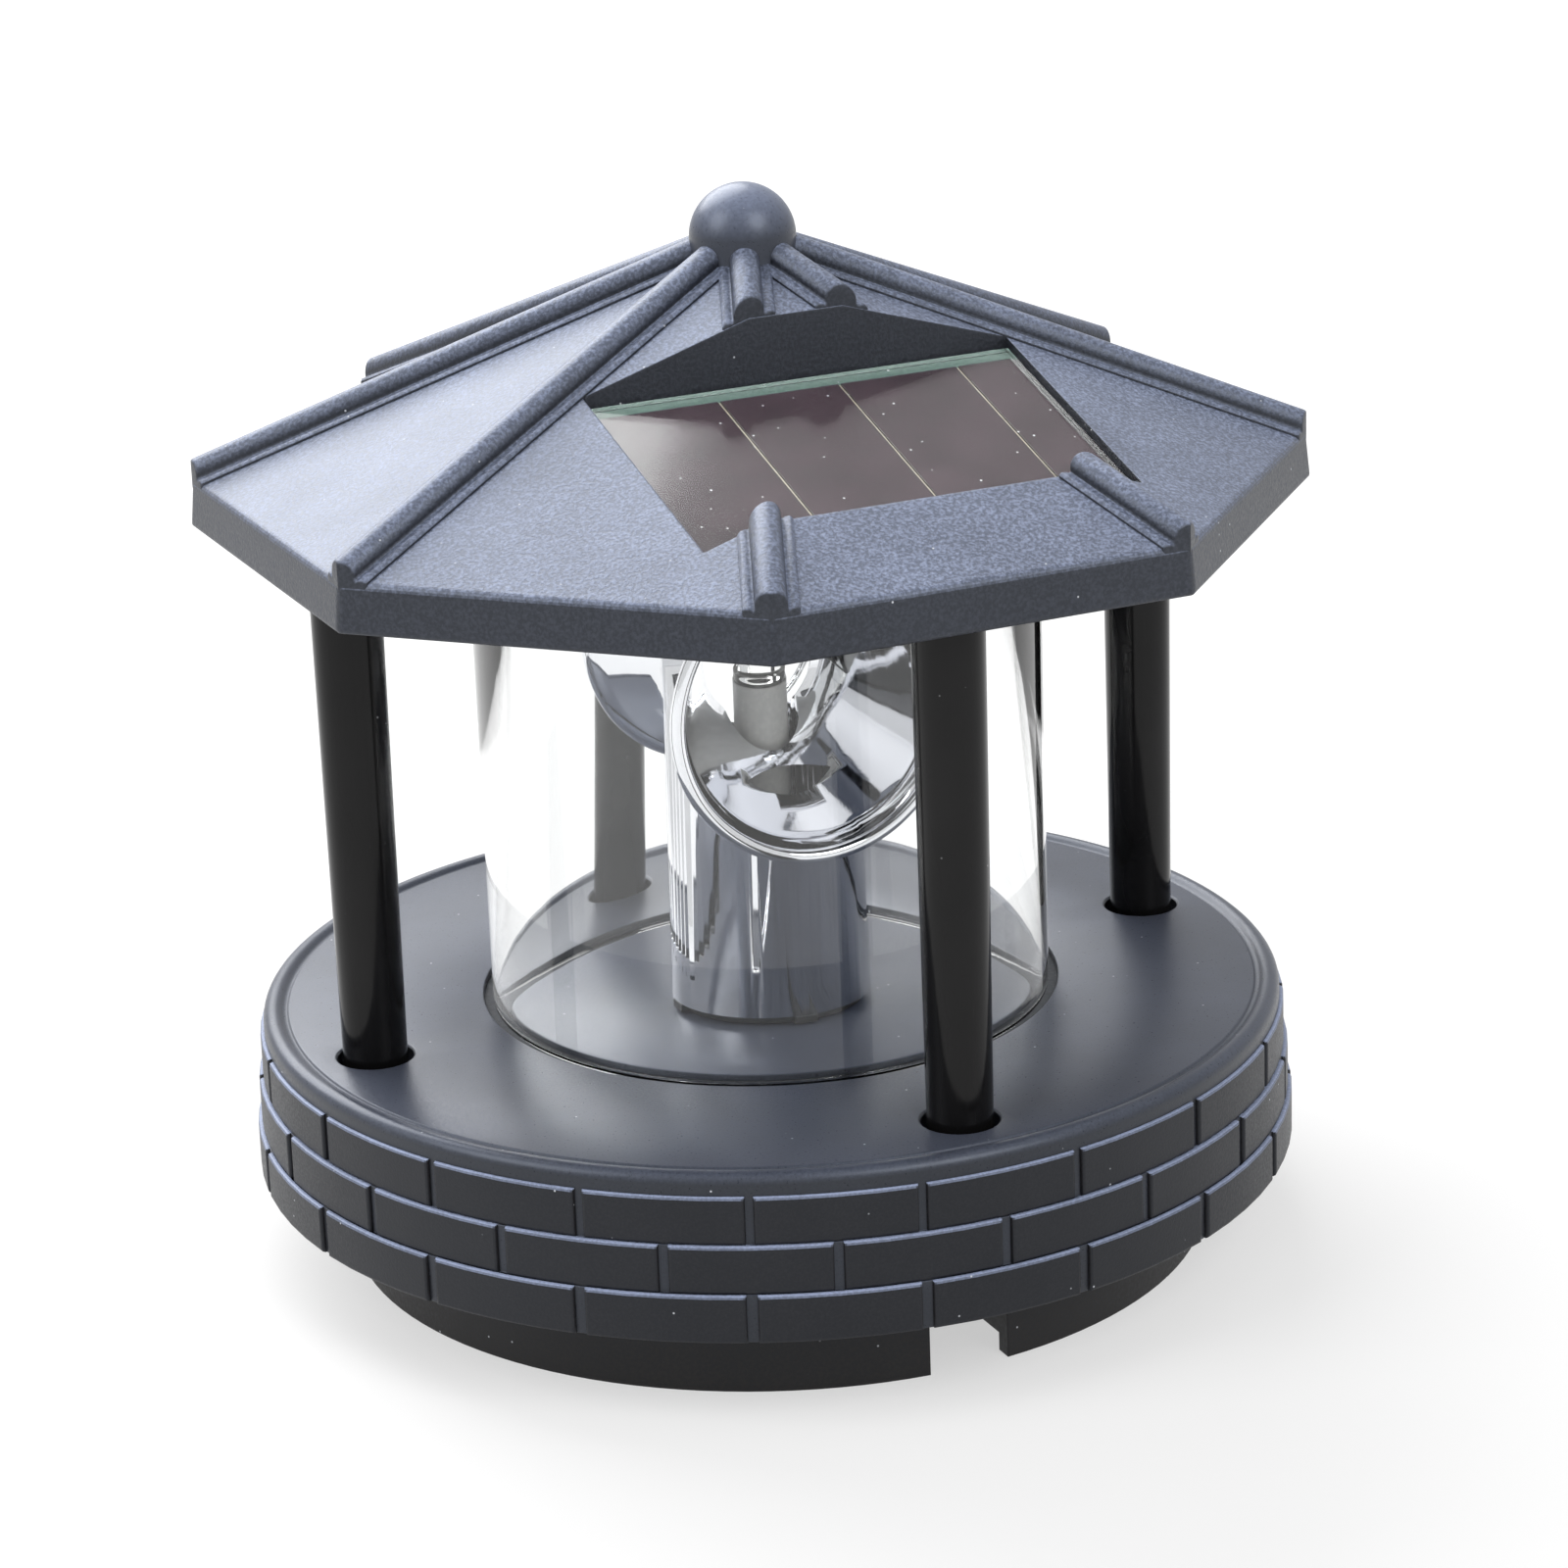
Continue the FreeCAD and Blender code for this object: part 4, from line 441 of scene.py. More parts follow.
def dress(piece, body, slot, *nodes):
    """Puts a finished piece on its body, in place of the CAD nodes that it stands for."""
    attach(piece, body)
    if nodes:
        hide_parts(*nodes)
    return piece


def repaint(material, *nodes):
    """A better material for CAD nodes whose shape is right."""
    for name in nodes:
        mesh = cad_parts[name].data
        mesh.materials.clear()
        mesh.materials.append(material)


# ---------------------------------------------------------------- geometry nodes


class Graph:
    """A geometry nodes tree with named inputs."""

    def __init__(self, name):
        self.tree = bpy.data.node_groups.new(name, "GeometryNodeTree")
        self.tree.interface.new_socket("Geometry", in_out="OUTPUT", socket_type="NodeSocketGeometry")
        self.inputs = self.tree.nodes.new("NodeGroupInput")
        self.output = self.tree.nodes.new("NodeGroupOutput")
        self.values = []

    def size(self, name, value, kind="NodeSocketFloat"):
        socket = self.tree.interface.new_socket(name, in_out="INPUT", socket_type=kind)
        self.values.append((socket.identifier, value))
        return self.inputs.outputs[name]

    def node(self, kind, inputs=None, **settings):
        return new_node(self.tree, kind, inputs, settings)

    def maths(self, operation, first, second=0.0):
        return self.node("ShaderNodeMath", {0: first, 1: second}, operation=operation).outputs[0]

    def copies(self, spots, source, turn, material):
        """Copies of a source object at points, each turned, as one plain mesh."""
        picked = self.node("GeometryNodeObjectInfo", {"Object": source, "As Instance": True})
        placed = self.node(
            "GeometryNodeInstanceOnPoints",
            {"Points": spots, "Instance": picked.outputs["Geometry"], "Rotation": turn},
        )
        real = self.node("GeometryNodeRealizeInstances", {0: placed.outputs[0]})
        painted = self.node("GeometryNodeSetMaterial", {"Geometry": real.outputs[0], "Material": material})
        self.tree.links.new(painted.outputs[0], self.output.inputs[0])

    def run(self, name, material, sharp=35):
        """Runs the tree and returns its result as a plain piece."""
        carrier = bpy.data.objects.new(f"{name}_carrier", bpy.data.meshes.new(f"{name}_carrier"))
        bpy.context.scene.collection.objects.link(carrier)
        modifier = carrier.modifiers.new("copies", "NODES")
        modifier.node_group = self.tree
        for identifier, value in self.values:
            modifier[identifier] = value
        graph = bpy.context.evaluated_depsgraph_get()
        mesh = bpy.data.meshes.new_from_object(carrier.evaluated_get(graph))
        bpy.data.objects.remove(carrier)
        mesh.name = name
        return piece_of(mesh, name, material, sharp)


# ---------------------------------------------------------------- base


def column_spot(side):
    """Centre of a column, counted from +X."""
    angle = TURN * side / COLUMN_COUNT
    return (COLUMN_RING * math.cos(angle), COLUMN_RING * math.sin(angle))


def brick_slab(material):
    """One brick of the lowest course, on +X: a curved slab with rounded outer edges."""
    s = sizes()
    sunk = 0.0004
    inner = s.skirt_radius - s.course_step - sunk
    half = math.pi / s.bricks - s.brick_joint / 2 / s.skirt_radius
    low, high = s.skirt_foot, s.skirt_foot + s.course_height
    soft, bend = 0.0003, 0.3
    profile = [
        (inner, low),
        (s.skirt_radius - soft, low),
        (s.skirt_radius - soft * bend, low + soft * bend),
        (s.skirt_radius, low + soft),
        (s.skirt_radius, high - soft),
        (s.skirt_radius - soft * bend, high - soft * bend),
        (s.skirt_radius - soft, high),
        (inner, high),
    ]
    edge = soft / s.skirt_radius
    angles = [(-half, 1), (-half + edge * bend, bend), (-half + edge, 0)]
    angles += [((-half + edge) * (1 - t) + (half - edge) * t, 0) for t in (0.25, 0.5, 0.75)]
    angles += [(half - edge, 0), (half - edge * bend, bend), (half, 1)]
    bm = bmesh.new()
    rows = []
    for angle, drop in angles:
        row = []
        for radius, height in profile:
            reach = min(radius, s.skirt_radius - soft * drop)
            row.append(bm.verts.new((reach * math.cos(angle), reach * math.sin(angle), height)))
        rows.append(row)
    for first, second in zip(rows, rows[1:]):
        for k in range(len(profile)):
            n = (k + 1) % len(profile)
            bm.faces.new((first[k], first[n], second[n], second[k]))
    bm.faces.new(rows[0])
    bm.faces.new(reversed(rows[-1]))
    bmesh.ops.recalc_face_normals(bm, faces=bm.faces)
    return piece_from(bm, "brick_slab", material)


class LANTERN_OT_base(bpy.types.Operator):
    """Deck with its rounded rim, and the courses of bricks under it"""

    bl_idname = "lantern.base"
    bl_label = "Base"

    def execute(self, context):
        self.deck()
        self.bricks()
        return {"FINISHED"}

    def deck(self):
        """The deck with its bead, and the wall behind the bricks, as one turned solid."""
        s = sizes()
        material = grained_plastic(
            "deck_plastic",
            colours().deck,
            grain=0.0003,
            depth=0.000015,
            speckle=0.16,
            roughness=0.34,
            edge=0.0002,
            # Weak painted sheen on the deck and the top of its bead, in place of the sky's reflection.
            painted_sheen=0.13,
            shine=0.5,
        )
        bm = bmesh.new()
        turned(bm, rounded(self.outline(), 0.0, steps=2), sides=240)
        base = piece_from(bm, "deck_and_skirt", material)
        wide, narrow = 0.0044, 0.0041
        deck = s.deck_level
        above, rim, lip, floor = deck + 0.002, deck + 0.0001, deck - 0.0002, deck - 0.0018
        for side in range(COLUMN_COUNT):
            hole = [(0.0, above), (wide, above), (wide, rim), (narrow, lip), (narrow, floor), (0.0, floor)]
            bm = bmesh.new()
            turned(bm, hole, sides=48, centre=column_spot(side))
            combined(base, piece_from(bm, "hole", material))
        base.data.set_sharp_from_angle(angle=math.radians(35))
        dress(base, "base", "deck_plastic", "base_housing")

    def outline(self):
        """Stepped wall, bead, fine line, deck, groove of the tube, hole of the turntable.

        Each point is a radius, a height, and how far its corner is rounded.
        """
        s = sizes()
        deck = s.deck_level
        plate = 0.002
        under = deck - plate
        foot = s.skirt_foot
        wall, flange, flange_foot = 0.0548, 0.0540, 0.0124
        bead, lift = 0.0012, 0.0003
        line_depth, line_outer, line_inner, line_end = 0.00022, 0.00112, 0.00142, 0.00160
        groove_outer, groove_inner, groove = 0.0317, 0.0274, 0.0012
        boss_outer, boss_inner, boss = 0.0335, 0.0269, 0.001
        hub_rim, hub_hole, hub_rise = 0.0080, 0.00508, 0.00025
        radii = [s.skirt_radius - (k + 1) * s.course_step for k in range(s.courses)]
        outline = [(wall, foot, 0)]
        for k, radius in enumerate(radii):
            outline.append((radius, foot + k * s.course_height, 0.0001))
            outline.append((radius, foot + (k + 1) * s.course_height, 0.0001))
        edge = radii[-1]
        outline += [
            (edge - bead + bead * math.sin(a), deck + lift - bead + bead * math.cos(a), 0)
            for a in [math.radians(d) for d in range(96, -60, -12)]
        ]
        outline += [
            (edge - bead - line_outer, deck - line_depth, 0),
            (edge - bead - line_inner, deck - line_depth, 0),
            (edge - bead - line_end, deck, 0.0001),
            (groove_outer, deck, 0.0002),
            (groove_outer, deck - groove, 0.0001),
            (groove_inner, deck - groove, 0.0001),
            (groove_inner, deck, 0.0003),
            (hub_rim, deck, 0.0001),
            (hub_rim, deck + hub_rise, 0.0001),
            (hub_hole, deck + hub_rise, 0.0001),
            (hub_hole, under, 0),
            (boss_inner, under, 0),
            (boss_inner, under - boss, 0),
            (boss_outer, under - boss, 0),
            (boss_outer, under, 0),
            (flange, under, 0),
            (flange, flange_foot, 0),
            (wall, flange_foot, 0),
        ]
        return outline

    def bricks(self):
        """Courses of bricks, each half a brick on from the one below and a step further in."""
        s = sizes()
        brick_material = grained_plastic(
            "brick_plastic",
            colours().brick,
            grain=0.0003,
            depth=0.00003,
            speckle=0.2,
            roughness=0.42,
            edge=0.0002,
            # Strong painted sheen: it paints the upward ledges of the courses as bright highlight lines.
            painted_sheen=0.95,
            shine=0.35,
        )
        slab = brick_slab(brick_material)
        g = Graph("brick_courses")
        bricks = g.size("Bricks per course", s.bricks, "NodeSocketInt")
        courses = g.size("Courses", s.courses, "NodeSocketInt")
        step = g.size("Course step", s.course_step)
        height = g.size("Course height", s.course_height)
        line = g.node("GeometryNodeMeshLine", {"Count": g.maths("MULTIPLY", bricks, courses)})
        index = g.node("GeometryNodeInputIndex").outputs[0]
        course = g.maths("FLOOR", g.maths("DIVIDE", g.maths("ADD", index, 0.5), bricks))
        shift = g.maths("MULTIPLY", g.maths("MODULO", course, 2.0), 0.5)
        angle = g.maths("MULTIPLY", g.maths("DIVIDE", g.maths("ADD", index, shift), bricks), TURN)
        inward = g.maths("MULTIPLY", g.maths("MULTIPLY", course, step), -1.0)
        spot = g.node(
            "ShaderNodeCombineXYZ",
            {
                0: g.maths("MULTIPLY", inward, g.maths("COSINE", angle)),
                1: g.maths("MULTIPLY", inward, g.maths("SINE", angle)),
                2: g.maths("MULTIPLY", course, height),
            },
        )
        spots = g.node("GeometryNodeSetPosition", {"Geometry": line.outputs[0], "Position": spot.outputs[0]})
        turn = g.node("ShaderNodeCombineXYZ", {2: angle}).outputs[0]
        g.copies(spots.outputs[0], slab, turn, brick_material)
        wall = g.run("brick_courses", brick_material, sharp=15)
        bpy.data.objects.remove(slab)
        dress(wall, "base", "deck_plastic")


class LANTERN_OT_cover(bpy.types.Operator):
    """Bottom cover with the spigot, and the battery door in it"""

    bl_idname = "lantern.cover"
    bl_label = "Bottom cover"

    def execute(self, context):
        material = grained_plastic(
            "cover_plastic",
            (0.018, 0.0155, 0.013),
            grain=0.0004,
            depth=0.00002,
            speckle=0.2,
            roughness=0.5,
            shine=0.35,
        )
        repaint(material, "bottom_cover", "battery_door")
        return {"FINISHED"}


class LANTERN_OT_columns(bpy.types.Operator):
    """The glossy columns"""

    bl_idname = "lantern.columns"
    bl_label = "Columns"

    def execute(self, context):
        material = glossy_plastic("column_plastic", colours().column)
        foot, head, bore = 0.0034, 0.0038, 0.0013
        low, high = 0.0175, 0.0851
        for side, name in enumerate(("right", "back", "left", "front")):
            outline = [(foot, low), (head, high), (bore, high), (bore, low)]
            spot = column_spot(side)
            column = turned_piece(f"post_{name}", material, outline, sides=48, centre=spot, corner=0.0001)
            dress(column, "base", "column_plastic", f"column_{name}")
        return {"FINISHED"}


class LANTERN_OT_tube(bpy.types.Operator):
    """The clear tube and the gasket under it"""

    bl_idname = "lantern.tube"
    bl_label = "Clear tube"

    def execute(self, context):
        low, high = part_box("lens_tube")
        material = clear_plastic("clear_plastic", (0.985, 0.99, 0.99))
        inner, outer = 0.0289, 0.0307
        outline = [(inner, low.z), (outer, low.z), (outer, high.z), (inner, high.z)]
        tube = turned_piece("clear_tube", material, outline, sides=256, corner=0.0004)
        dress(tube, "base", "clear_plastic", "lens_tube")
        rubber = grained_plastic(
            "seal_rubber", (0.012, 0.012, 0.013), grain=0.0005, depth=0.00002, speckle=0.2, roughness=0.7
        )
        repaint(rubber, "lens_gasket")
        return {"FINISHED"}


# ---------------------------------------------------------------- roof


def roof_corner(radius, k, height):
    """Corner k of an eight-sided ring."""
    angle = TURN * (k + 0.5) / sizes().roof_sides
    return (radius * math.cos(angle), radius * math.sin(angle), height)


def stacked_octagons(levels, apex=None):
    """A closed solid through eight-sided rings of (corner radius, height)."""
    sides = sizes().roof_sides
    bm = bmesh.new()
    rings = []
    for radius, height in levels:
        rings.append([bm.verts.new(roof_corner(radius, k, height)) for k in range(sides)])
    for first, second in zip(rings, rings[1:]):
        for k in range(sides):
            n = (k + 1) % sides
            bm.faces.new((first[k], first[n], second[n], second[k]))
    bm.faces.new(list(reversed(rings[0])))
    if apex is None:
        bm.faces.new(rings[-1])
    else:
        tip = bm.verts.new((0, 0, apex))
        for k in range(sides):
            bm.faces.new((rings[-1][k], rings[-1][(k + 1) % sides], tip))
    bmesh.ops.recalc_face_normals(bm, faces=bm.faces)
    return bm


def pocket_block(material, half_width, near, far, drop, top):
    """The room of the solar panel: a sloping floor and upright walls."""
    bm = bmesh.new()
    corners = []
    for y in (near, far):
        floor = PANEL_LEVEL_AT_AXIS - PANEL_SLOPE * y - drop
        corners.append([bm.verts.new((x, -y, z)) for x, z in ((-1, floor), (1, floor), (1, top), (-1, top))])
    for row in corners:
        for vert in row:
            vert.co.x *= half_width
    first, second = corners
    for k in range(4):
        n = (k + 1) % 4
        bm.faces.new((first[k], first[n], second[n], second[k]))
    bm.faces.new(first)
    bm.faces.new(list(reversed(second)))
    bmesh.ops.recalc_face_normals(bm, faces=bm.faces)
    return piece_from(bm, "pocket", material)


class LANTERN_OT_roof(bpy.types.Operator):
    """The grained roof: facets, fascia, hip ribs and the pocket of the panel"""

    bl_idname = "lantern.roof"
    bl_label = "Roof"

    def execute(self, context):
        s = sizes()
        material = grained_plastic(
            "roof_plastic",
            colours().roof,
            grain=0.00038,
            depth=0.00008,
            speckle=0.45,
            roughness=0.4,
            # Painted sheen on the facets and ribs where they face up, pale blue in place of the sky's
            # reflection.
            painted_sheen=0.46,
        )
        apex = s.eaves_high + s.hip_slope * s.corner_high
        shell = self.shell(material, apex)
        for item in self.ribs(material, apex):
            softened(item, width=0.0006, angle=50)
            item.data.set_sharp_from_angle(angle=math.radians(35))
            dress(item, "base", "roof_plastic")
        combined(shell, self.pocket(material, apex))
        shell.data.set_sharp_from_angle(angle=math.radians(9))
        dress(shell, "base", "roof_plastic", "roof_shell")
        return {"FINISHED"}

    def shell(self, material, apex):
        """Facets and fascia, hollow below, with the block that the pocket is cut into."""
        s = sizes()
        outer = stacked_octagons([(s.corner_low, s.eaves_low), (s.corner_high, s.eaves_high)], apex)
        shell = softened(piece_from(outer, "roof_plates", material, sharp=12), width=0.0005, angle=30)
        wall, mouth, shoulder = 0.0022, 0.001, 0.0013
        levels = [(s.corner_low - wall, s.eaves_low - mouth), (s.corner_high - wall, s.eaves_high - shoulder)]
        combined(shell, piece_from(stacked_octagons(levels, apex - wall), "inner", material))
        half_width, near, far, drop = 0.0257, 0.0114, 0.0440, 0.0036
        tray = pocket_block(material, half_width, near, far, drop, apex)
        hair = 0.0002
        levels = [(s.corner_low - hair, s.eaves_low), (s.corner_high - hair, s.eaves_high)]
        combined(tray, piece_from(stacked_octagons(levels, apex - hair), "lid", material), "INTERSECT")
        return combined(shell, tray, "UNION")

    def ribs(self, material, apex):
        """The whole ribs as one piece, and the two that the pocket cuts."""
        s = sizes()
        rib = self.rib(material, apex)
        g = Graph("hip_ribs")
        whole = g.size("Whole ribs", s.roof_sides - 2, "NodeSocketInt")
        sides = g.size("Roof sides", s.roof_sides, "NodeSocketInt")
        spots = g.node("GeometryNodeMeshLine", {"Count": whole, "Offset": (0, 0, 0)})
        index = g.node("GeometryNodeInputIndex").outputs[0]
        share = g.maths("DIVIDE", g.maths("ADD", index, s.roof_sides - 0.5), sides)
        turn = g.node("ShaderNodeCombineXYZ", {2: g.maths("MULTIPLY", share, TURN)}).outputs[0]
        g.copies(spots.outputs[0], rib, turn, material)
        ribs = [g.run("hip_ribs", material)]
        spare = 0.00008
        for side, name in ((-1, "front_rib_left"), (1, "front_rib_right")):
            mesh = rib.data.copy()
            mesh.transform(Matrix.Rotation(-TURN / 4 + side * TURN / s.roof_sides / 2, 4, "Z"))
            ribs.append(combined(piece_of(mesh, name, material), self.pocket(material, apex, spare)))
        bpy.data.objects.remove(rib)
        return ribs

    def pocket(self, material, apex, spare=0.0):
        """The room that is cut out of the roof, open at the top."""
        half_width, near, far, drop, above = 0.0242, 0.0129, 0.0425, 0.0021, 0.01
        return pocket_block(material, half_width, near - spare, far + spare, drop, apex + above)

    def rib(self, material, apex):
        """One hip rib on +X: a half-round bead between low flanges, its end folded along the fascia."""
        s = sizes()
        r = s.rib_radius
        side = [(0.0028, -0.0009), (0.0028, -0.0002), (0.0025, 0.0001), (r + 0.00035, 0.00014)]
        side += [(r + 0.00014, 0.00002), (r, 0.00018)]
        rise = 0.0005
        bead = [(r * math.cos(a), rise + r * math.sin(a)) for a in [math.pi * k / 16 for k in range(17)]]
        section = [(0.0, -0.0009)] + side + bead + [(-across, height) for across, height in reversed(side)]
        slope = math.atan(s.hip_slope)
        along = Vector((math.cos(slope), 0, -math.sin(slope)))
        up = Vector((math.sin(slope), 0, math.cos(slope)))
        from_tip = 0.002
        start = Vector((0, 0, apex)) + along * from_tip
        fold = math.tan(TURN / s.roof_sides / 2)
        bm = bmesh.new()
        rows = [[], []]
        for across, height in section:
            point = start + up * height + Vector((0, across, 0))
            rows[0].append(bm.verts.new(point))
            end = s.corner_high - abs(across) * fold
            rows[1].append(bm.verts.new(point + along * ((end - point.x) / along.x)))
        for k in range(len(section)):
            n = (k + 1) % len(section)
            bm.faces.new((rows[0][k], rows[0][n], rows[1][n], rows[1][k]))
        bm.faces.new(rows[0])
        crown = len(section) // 2
        bm.faces.new(list(reversed(rows[1][: crown + 1])))
        bm.faces.new(list(reversed(rows[1][crown:] + rows[1][:1])))
        bmesh.ops.recalc_face_normals(bm, faces=bm.faces)
        return piece_from(bm, "hip_rib", material)


class LANTERN_OT_finial(bpy.types.Operator):
    """The domed finial"""

    bl_idname = "lantern.finial"
    bl_label = "Finial"

    def execute(self, context):
        material = grained_plastic(
            "finial_plastic",
            (0.028, 0.031, 0.042),
            grain=0.0004,
            depth=0.00001,
            speckle=0.12,
            roughness=0.33,
            # Painted sheen on the dome's upper half, in place of the sky's reflection.
            painted_sheen=0.4,
        )
        radius, centre, foot = 0.00566, 0.111, 0.1076
        flare, flare_height = 0.0002, 0.0006
        outline = [(0.0, foot, 0), (radius + flare, foot, 0), (radius, foot + flare_height, 0)]
        angles = [math.pi / 2 * k / 20 for k in range(20)]
        outline += [(radius * math.cos(a), centre + radius * math.sin(a), 0) for a in angles]
        outline.append((0.0, centre + radius, 0))
        bm = bmesh.new()
        turned(bm, rounded(outline, 0), sides=96)
        dome = piece_from(bm, "dome", material)
        dress(dome, "base", "finial_plastic", "finial")
        return {"FINISHED"}


class LANTERN_OT_panel(bpy.types.Operator):
    """The solar panel: clear cover, brown cells with pale lines, green board"""

    bl_idname = "lantern.panel"
    bl_label = "Solar panel"

    def execute(self, context):
        repaint(self.cells(), "solar_cells")
        repaint(self.board(), "solar_board", "circuit_board")
        dress(self.cover(self.resin()), "base", "clear_resin", "solar_cover")
        return {"FINISHED"}

    def cells(self):
        """Brown and nearly matt, with faint clouds."""
        f = Finish("cell_brown")
        cloud = f.noise(160.0, 4.0)
        fine = f.noise(5000.0, 2.0)
        colour = f.mix(f.ramp(cloud, 0.3, 0.7), tint(colours().cell, 0.8), tint(colours().cell, 1.3))
        rough = f.ramp(fine, 0.3, 0.7, 0.2, 0.35)
        return f.finish(f.shader(Base_Color=colour, Roughness=rough, Specular_IOR_Level=0.06))

    def board(self):
        """Green along the top edge, pale between the cells, dark beside them."""
        half_cells, cells_near, cells_far = 0.0234, -0.0149, -0.0406
        f = Finish("board_green")
        weave = f.noise(1.0, 2.0, f.stretched((2400, 2400, 2400)))
        share = f.ramp(weave, 0.35, 0.65)
        green = f.mix(share, (0.10, 0.16, 0.14, 1), (0.15, 0.22, 0.19, 1))
        pale = f.mix(share, (0.62, 0.54, 0.44, 1), (0.78, 0.7, 0.58, 1))
        spot = f.node("SeparateXYZ", {0: f.place})
        inside = f.maths("LESS_THAN", f.maths("ABSOLUTE", spot.outputs[0], 0.0), half_cells)
        lower = f.maths("LESS_THAN", spot.outputs[1], cells_near)
        above_lip = f.maths("GREATER_THAN", spot.outputs[1], cells_far)
        field = f.maths("MULTIPLY", f.maths("MULTIPLY", inside, lower), above_lip)
        colour = f.mix(lower, green, tint(colours().cell, 0.7))
        colour = f.mix(field, colour, pale)
        return f.finish(f.shader(Base_Color=colour, Roughness=0.45, Normal=f.bump(weave, 0.00001)))

    def resin(self):
        """Clear, with dust on it, and open to the lamps' light."""
        f = Finish("clear_resin")
        waves = f.noise(60.0, 2.0)
        specks = dust(f, share=0.6, scale=520.0)
        solid = f.shader(
            Base_Color=(0.93, 0.97, 0.96, 1),
            Transmission_Weight=1.0,
            IOR=1.3,
            Roughness=0.08,
            Normal=f.bump(waves, 0.00004, 0.15),
        )
        pale = f.node("BsdfDiffuse", {"Color": (0.8, 0.82, 0.83, 1)})
        dusty = f.node("MixShader", {0: specks, 1: solid.outputs[0], 2: pale.outputs[0]})
        open_to_light = f.node("BsdfTransparent", {"Color": (0.95, 0.97, 0.97, 1)})
        shadow = f.node("LightPath").outputs["Is Shadow Ray"]
        both = f.node("MixShader", {0: shadow, 1: dusty.outputs[0], 2: open_to_light.outputs[0]})
        return f.finish(both)

    def cover(self, material):
        """The CAD cover, its underside drawn in a hair so that no face lies in a face of the cells."""
        hair = 0.00006
        bm = cad_mesh("solar_cover")
        bm.normal_update()
        for vert in {vert for face in bm.faces if face.normal.z < -0.5 for vert in face.verts}:
            vert.co.z += hair
        slab = piece_from(bm, "clear_cover", material, sharp=30)
        slab.data.shade_flat()
        return slab


# ---------------------------------------------------------------- mirror and drive


class LANTERN_OT_mirror(bpy.types.Operator):
    """The chromed mirror with its two horns, and the turntable under it"""

    bl_idname = "lantern.mirror"
    bl_label = "Mirror"

    def execute(self, context):
        chrome = chrome_plate("mirror_chrome", colours().chrome)
        horn = piece_from(cad_mesh("mirror"), "beam_mirror", chrome, sharp=30)
        dress(horn, "mirror_carrier", "mirror_chrome", "mirror")
        dark = grained_plastic(
            "turntable_plastic",
            (0.02, 0.019, 0.015),
            grain=0.0005,
            depth=0.00001,
            speckle=0.15,
            roughness=0.35,
        )
        repaint(dark, "turntable")
        return {"FINISHED"}


class LANTERN_OT_works(bpy.types.Operator):
    """Gears, motor, lamp, battery, switch, board, leads and screws"""

    bl_idname = "lantern.works"
    bl_label = "Works"

    def execute(self, context):
        black = grained_plastic(
            "ceiling_plastic", (0.02, 0.02, 0.022), grain=0.0005, depth=0.00002, speckle=0.2, roughness=0.5
        )
        repaint(black, "ceiling_plate", "gearbox_plate", "switch_body", "board_components")
        pale = grained_plastic(
            "gear_plastic", (0.72, 0.72, 0.69), grain=0.0006, depth=0.00001, speckle=0.05, roughness=0.4
        )
        repaint(pale, "mirror_gear", "idler_gear", "lamp_post", "switch_slider")
        steel = plain_metal("drawn_steel", (0.62, 0.62, 0.64), roughness=0.28)
        repaint(steel, "idler_axle", "motor_shaft", "motor_case")
        repaint(steel, "contact_plate", "spring_plate", "contact_spring")
        repaint(plain_metal("brass_pinion", (0.76, 0.58, 0.3), roughness=0.3), "motor_pinion")
        screws = ("cover_screws", "column_screws", "roof_screws", "plate_screws", "motor_screws")
        repaint(plain_metal("screw_steel", (0.7, 0.7, 0.72), roughness=0.33), *screws)
        repaint(clear_plastic("lamp_resin", (0.96, 0.97, 0.95), roughness=0.05), "lamp")
        repaint(glossy_plastic("cell_sleeve", (0.05, 0.22, 0.09), roughness=0.25), "battery_cell")
        sleeve = glossy_plastic("lead_sleeve", (0.015, 0.015, 0.017), roughness=0.35)
        repaint(sleeve, "panel_lead", "lamp_lead", "motor_lead")
        return {"FINISHED"}


# ---------------------------------------------------------------- stage


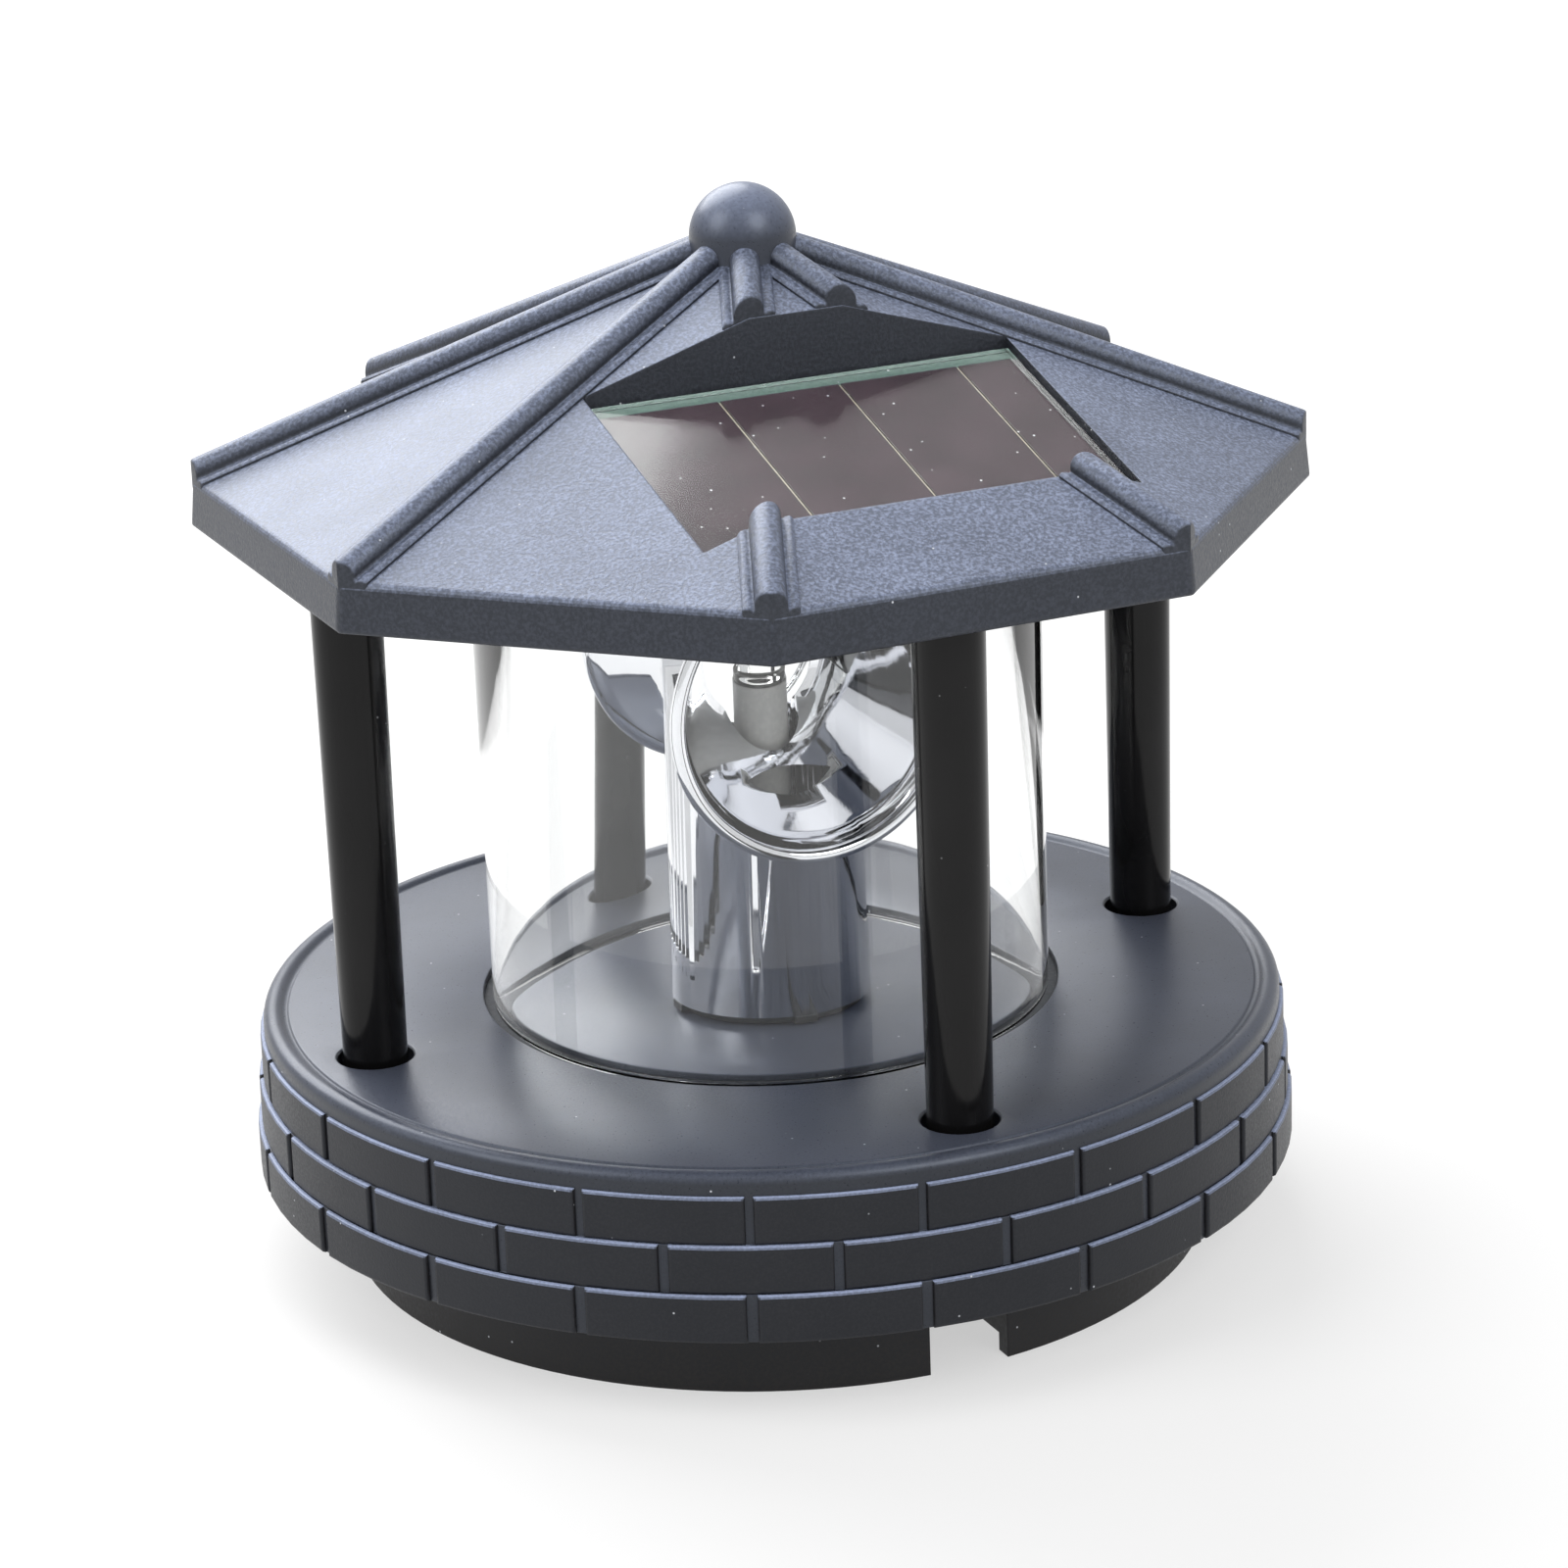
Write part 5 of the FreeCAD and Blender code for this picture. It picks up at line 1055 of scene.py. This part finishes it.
class LANTERN_OT_stage(bpy.types.Operator):
    """Pale floor, soft lights and the camera"""

    bl_idname = "lantern.stage"
    bl_label = "Stage"

    def execute(self, context):
        scene = context.scene
        floor = self.floor()
        scene.world = self.studio()
        lamps = (
            ("back", (-0.05, 0.85, 0.8), 1.1, 14.0),
            ("left", (-1.0, 0.0, 0.8), 0.8, 6.0),
            ("front", (0.3, -1.0, 0.9), 0.8, 7.0),
        )
        for name, place, size, power in lamps:
            scene.collection.objects.link(self.lamp(name, place, size, power))
        camera = self.camera()
        scene.collection.objects.link(camera)
        scene.camera = camera
        scene.view_settings.view_transform = "Standard"
        return {"FINISHED"}

    def floor(self):
        """Takes shadows near the ornament, and is white for the camera farther out."""
        near, far, near_share = 0.35, 1.1, 0.55
        f = Finish("pale_floor")
        mottled = f.mix(f.noise(3.0, 2.0), (0.93, 0.93, 0.93, 1), (0.96, 0.96, 0.96, 1))
        plain = f.shader(Base_Color=mottled, Roughness=0.8)
        glow = f.node("Emission", {"Color": (1, 1, 1, 1), "Strength": 1.0})
        seen = f.node("LightPath")
        direct = f.maths("MAXIMUM", seen.outputs["Is Camera Ray"], seen.outputs["Is Glossy Ray"])
        direct = f.maths("MAXIMUM", direct, seen.outputs["Is Transmission Ray"])
        reach = f.node("VectorMath", {0: f.place}, operation="LENGTH").outputs["Value"]
        share = f.maths("MULTIPLY", direct, f.ramp(reach, near, far, near_share, 1.0))
        plain = f.node("MixShader", {0: share, 1: plain.outputs[0], 2: glow.outputs[0]})
        bm = bmesh.new()
        bmesh.ops.create_grid(bm, x_segments=1, y_segments=1, size=6.0)
        return piece_from(bm, "floor", f.finish(plain))

    def studio(self):
        """A world that is white for the camera, and dimmer for reflections and for matt surfaces."""
        reflected, scattered = 0.75, 0.45
        world = bpy.data.worlds.new("studio")
        world.use_nodes = True
        tree = world.node_tree
        sky = tree.nodes["Background"]
        sky.inputs["Color"].default_value = (1.0, 1.0, 1.0, 1)
        path = new_node(tree, "ShaderNodeLightPath", {}, {})
        dimmed = {"Value": path.outputs["Is Diffuse Ray"], "To Min": reflected, "To Max": scattered}
        dimmed = new_node(tree, "ShaderNodeMapRange", dimmed, {})
        white = {0: path.outputs["Is Camera Ray"], 1: dimmed.outputs[0]}
        white = new_node(tree, "ShaderNodeMath", white, {"operation": "MAXIMUM"})
        tree.links.new(white.outputs[0], sky.inputs["Strength"])
        return world

    def lamp(self, name, place, size, power):
        """A round soft light that looks at the middle of the ornament."""
        aim = Vector((0, 0, 0.06))
        data = bpy.data.lights.new(name, "AREA")
        data.shape = "DISK"
        data.size = size
        data.energy = power
        lamp = bpy.data.objects.new(name, data)
        lamp.location = place
        lamp.rotation_euler = (aim - Vector(place)).to_track_quat("-Z", "Y").to_euler()
        return lamp

    def camera(self):
        """The view of the photograph: its right and up directions, and where it stands."""
        data = bpy.data.cameras.new("view")
        data.lens = 112.6
        data.sensor_width = 36.0
        data.clip_start = 0.02
        right = Vector((0.90719, -0.41928, -0.03470))
        up = Vector((0.16476, 0.27817, 0.94629))
        back = right.cross(up).normalized()
        matrix = Matrix((right.normalized(), up.normalized(), back)).transposed().to_4x4()
        matrix.translation = Vector((-0.205052, -0.463260, 0.221960))
        camera = bpy.data.objects.new("view", data)
        camera.matrix_world = matrix
        return camera


class LANTERN_PT_panel(bpy.types.Panel):
    """Buttons for each piece"""

    bl_label = "Lantern"
    bl_idname = "LANTERN_PT_panel"
    bl_space_type = "VIEW_3D"
    bl_region_type = "UI"
    bl_category = "Lantern"

    def draw(self, context):
        for operator in OPERATORS:
            self.layout.operator(operator.bl_idname)
        for group in (context.scene.lantern_sizes, context.scene.lantern_colours):
            for name in group.__annotations__:
                self.layout.prop(group, name)


OPERATORS = (
    LANTERN_OT_base,
    LANTERN_OT_cover,
    LANTERN_OT_columns,
    LANTERN_OT_tube,
    LANTERN_OT_roof,
    LANTERN_OT_finial,
    LANTERN_OT_panel,
    LANTERN_OT_mirror,
    LANTERN_OT_works,
    LANTERN_OT_stage,
)
CLASSES = (LanternSizes, LanternColours, *OPERATORS, LANTERN_PT_panel)


def register():
    for cls in CLASSES:
        bpy.utils.register_class(cls)
    bpy.types.Scene.lantern_sizes = PointerProperty(type=LanternSizes)
    bpy.types.Scene.lantern_colours = PointerProperty(type=LanternColours)


def unregister():
    del bpy.types.Scene.lantern_colours
    del bpy.types.Scene.lantern_sizes
    for cls in reversed(CLASSES):
        bpy.utils.unregister_class(cls)


def main():
    register()
    for operator in OPERATORS:
        group, name = operator.bl_idname.split(".")
        getattr(getattr(bpy.ops, group), name)()


if __name__ == "__main__":
    main()
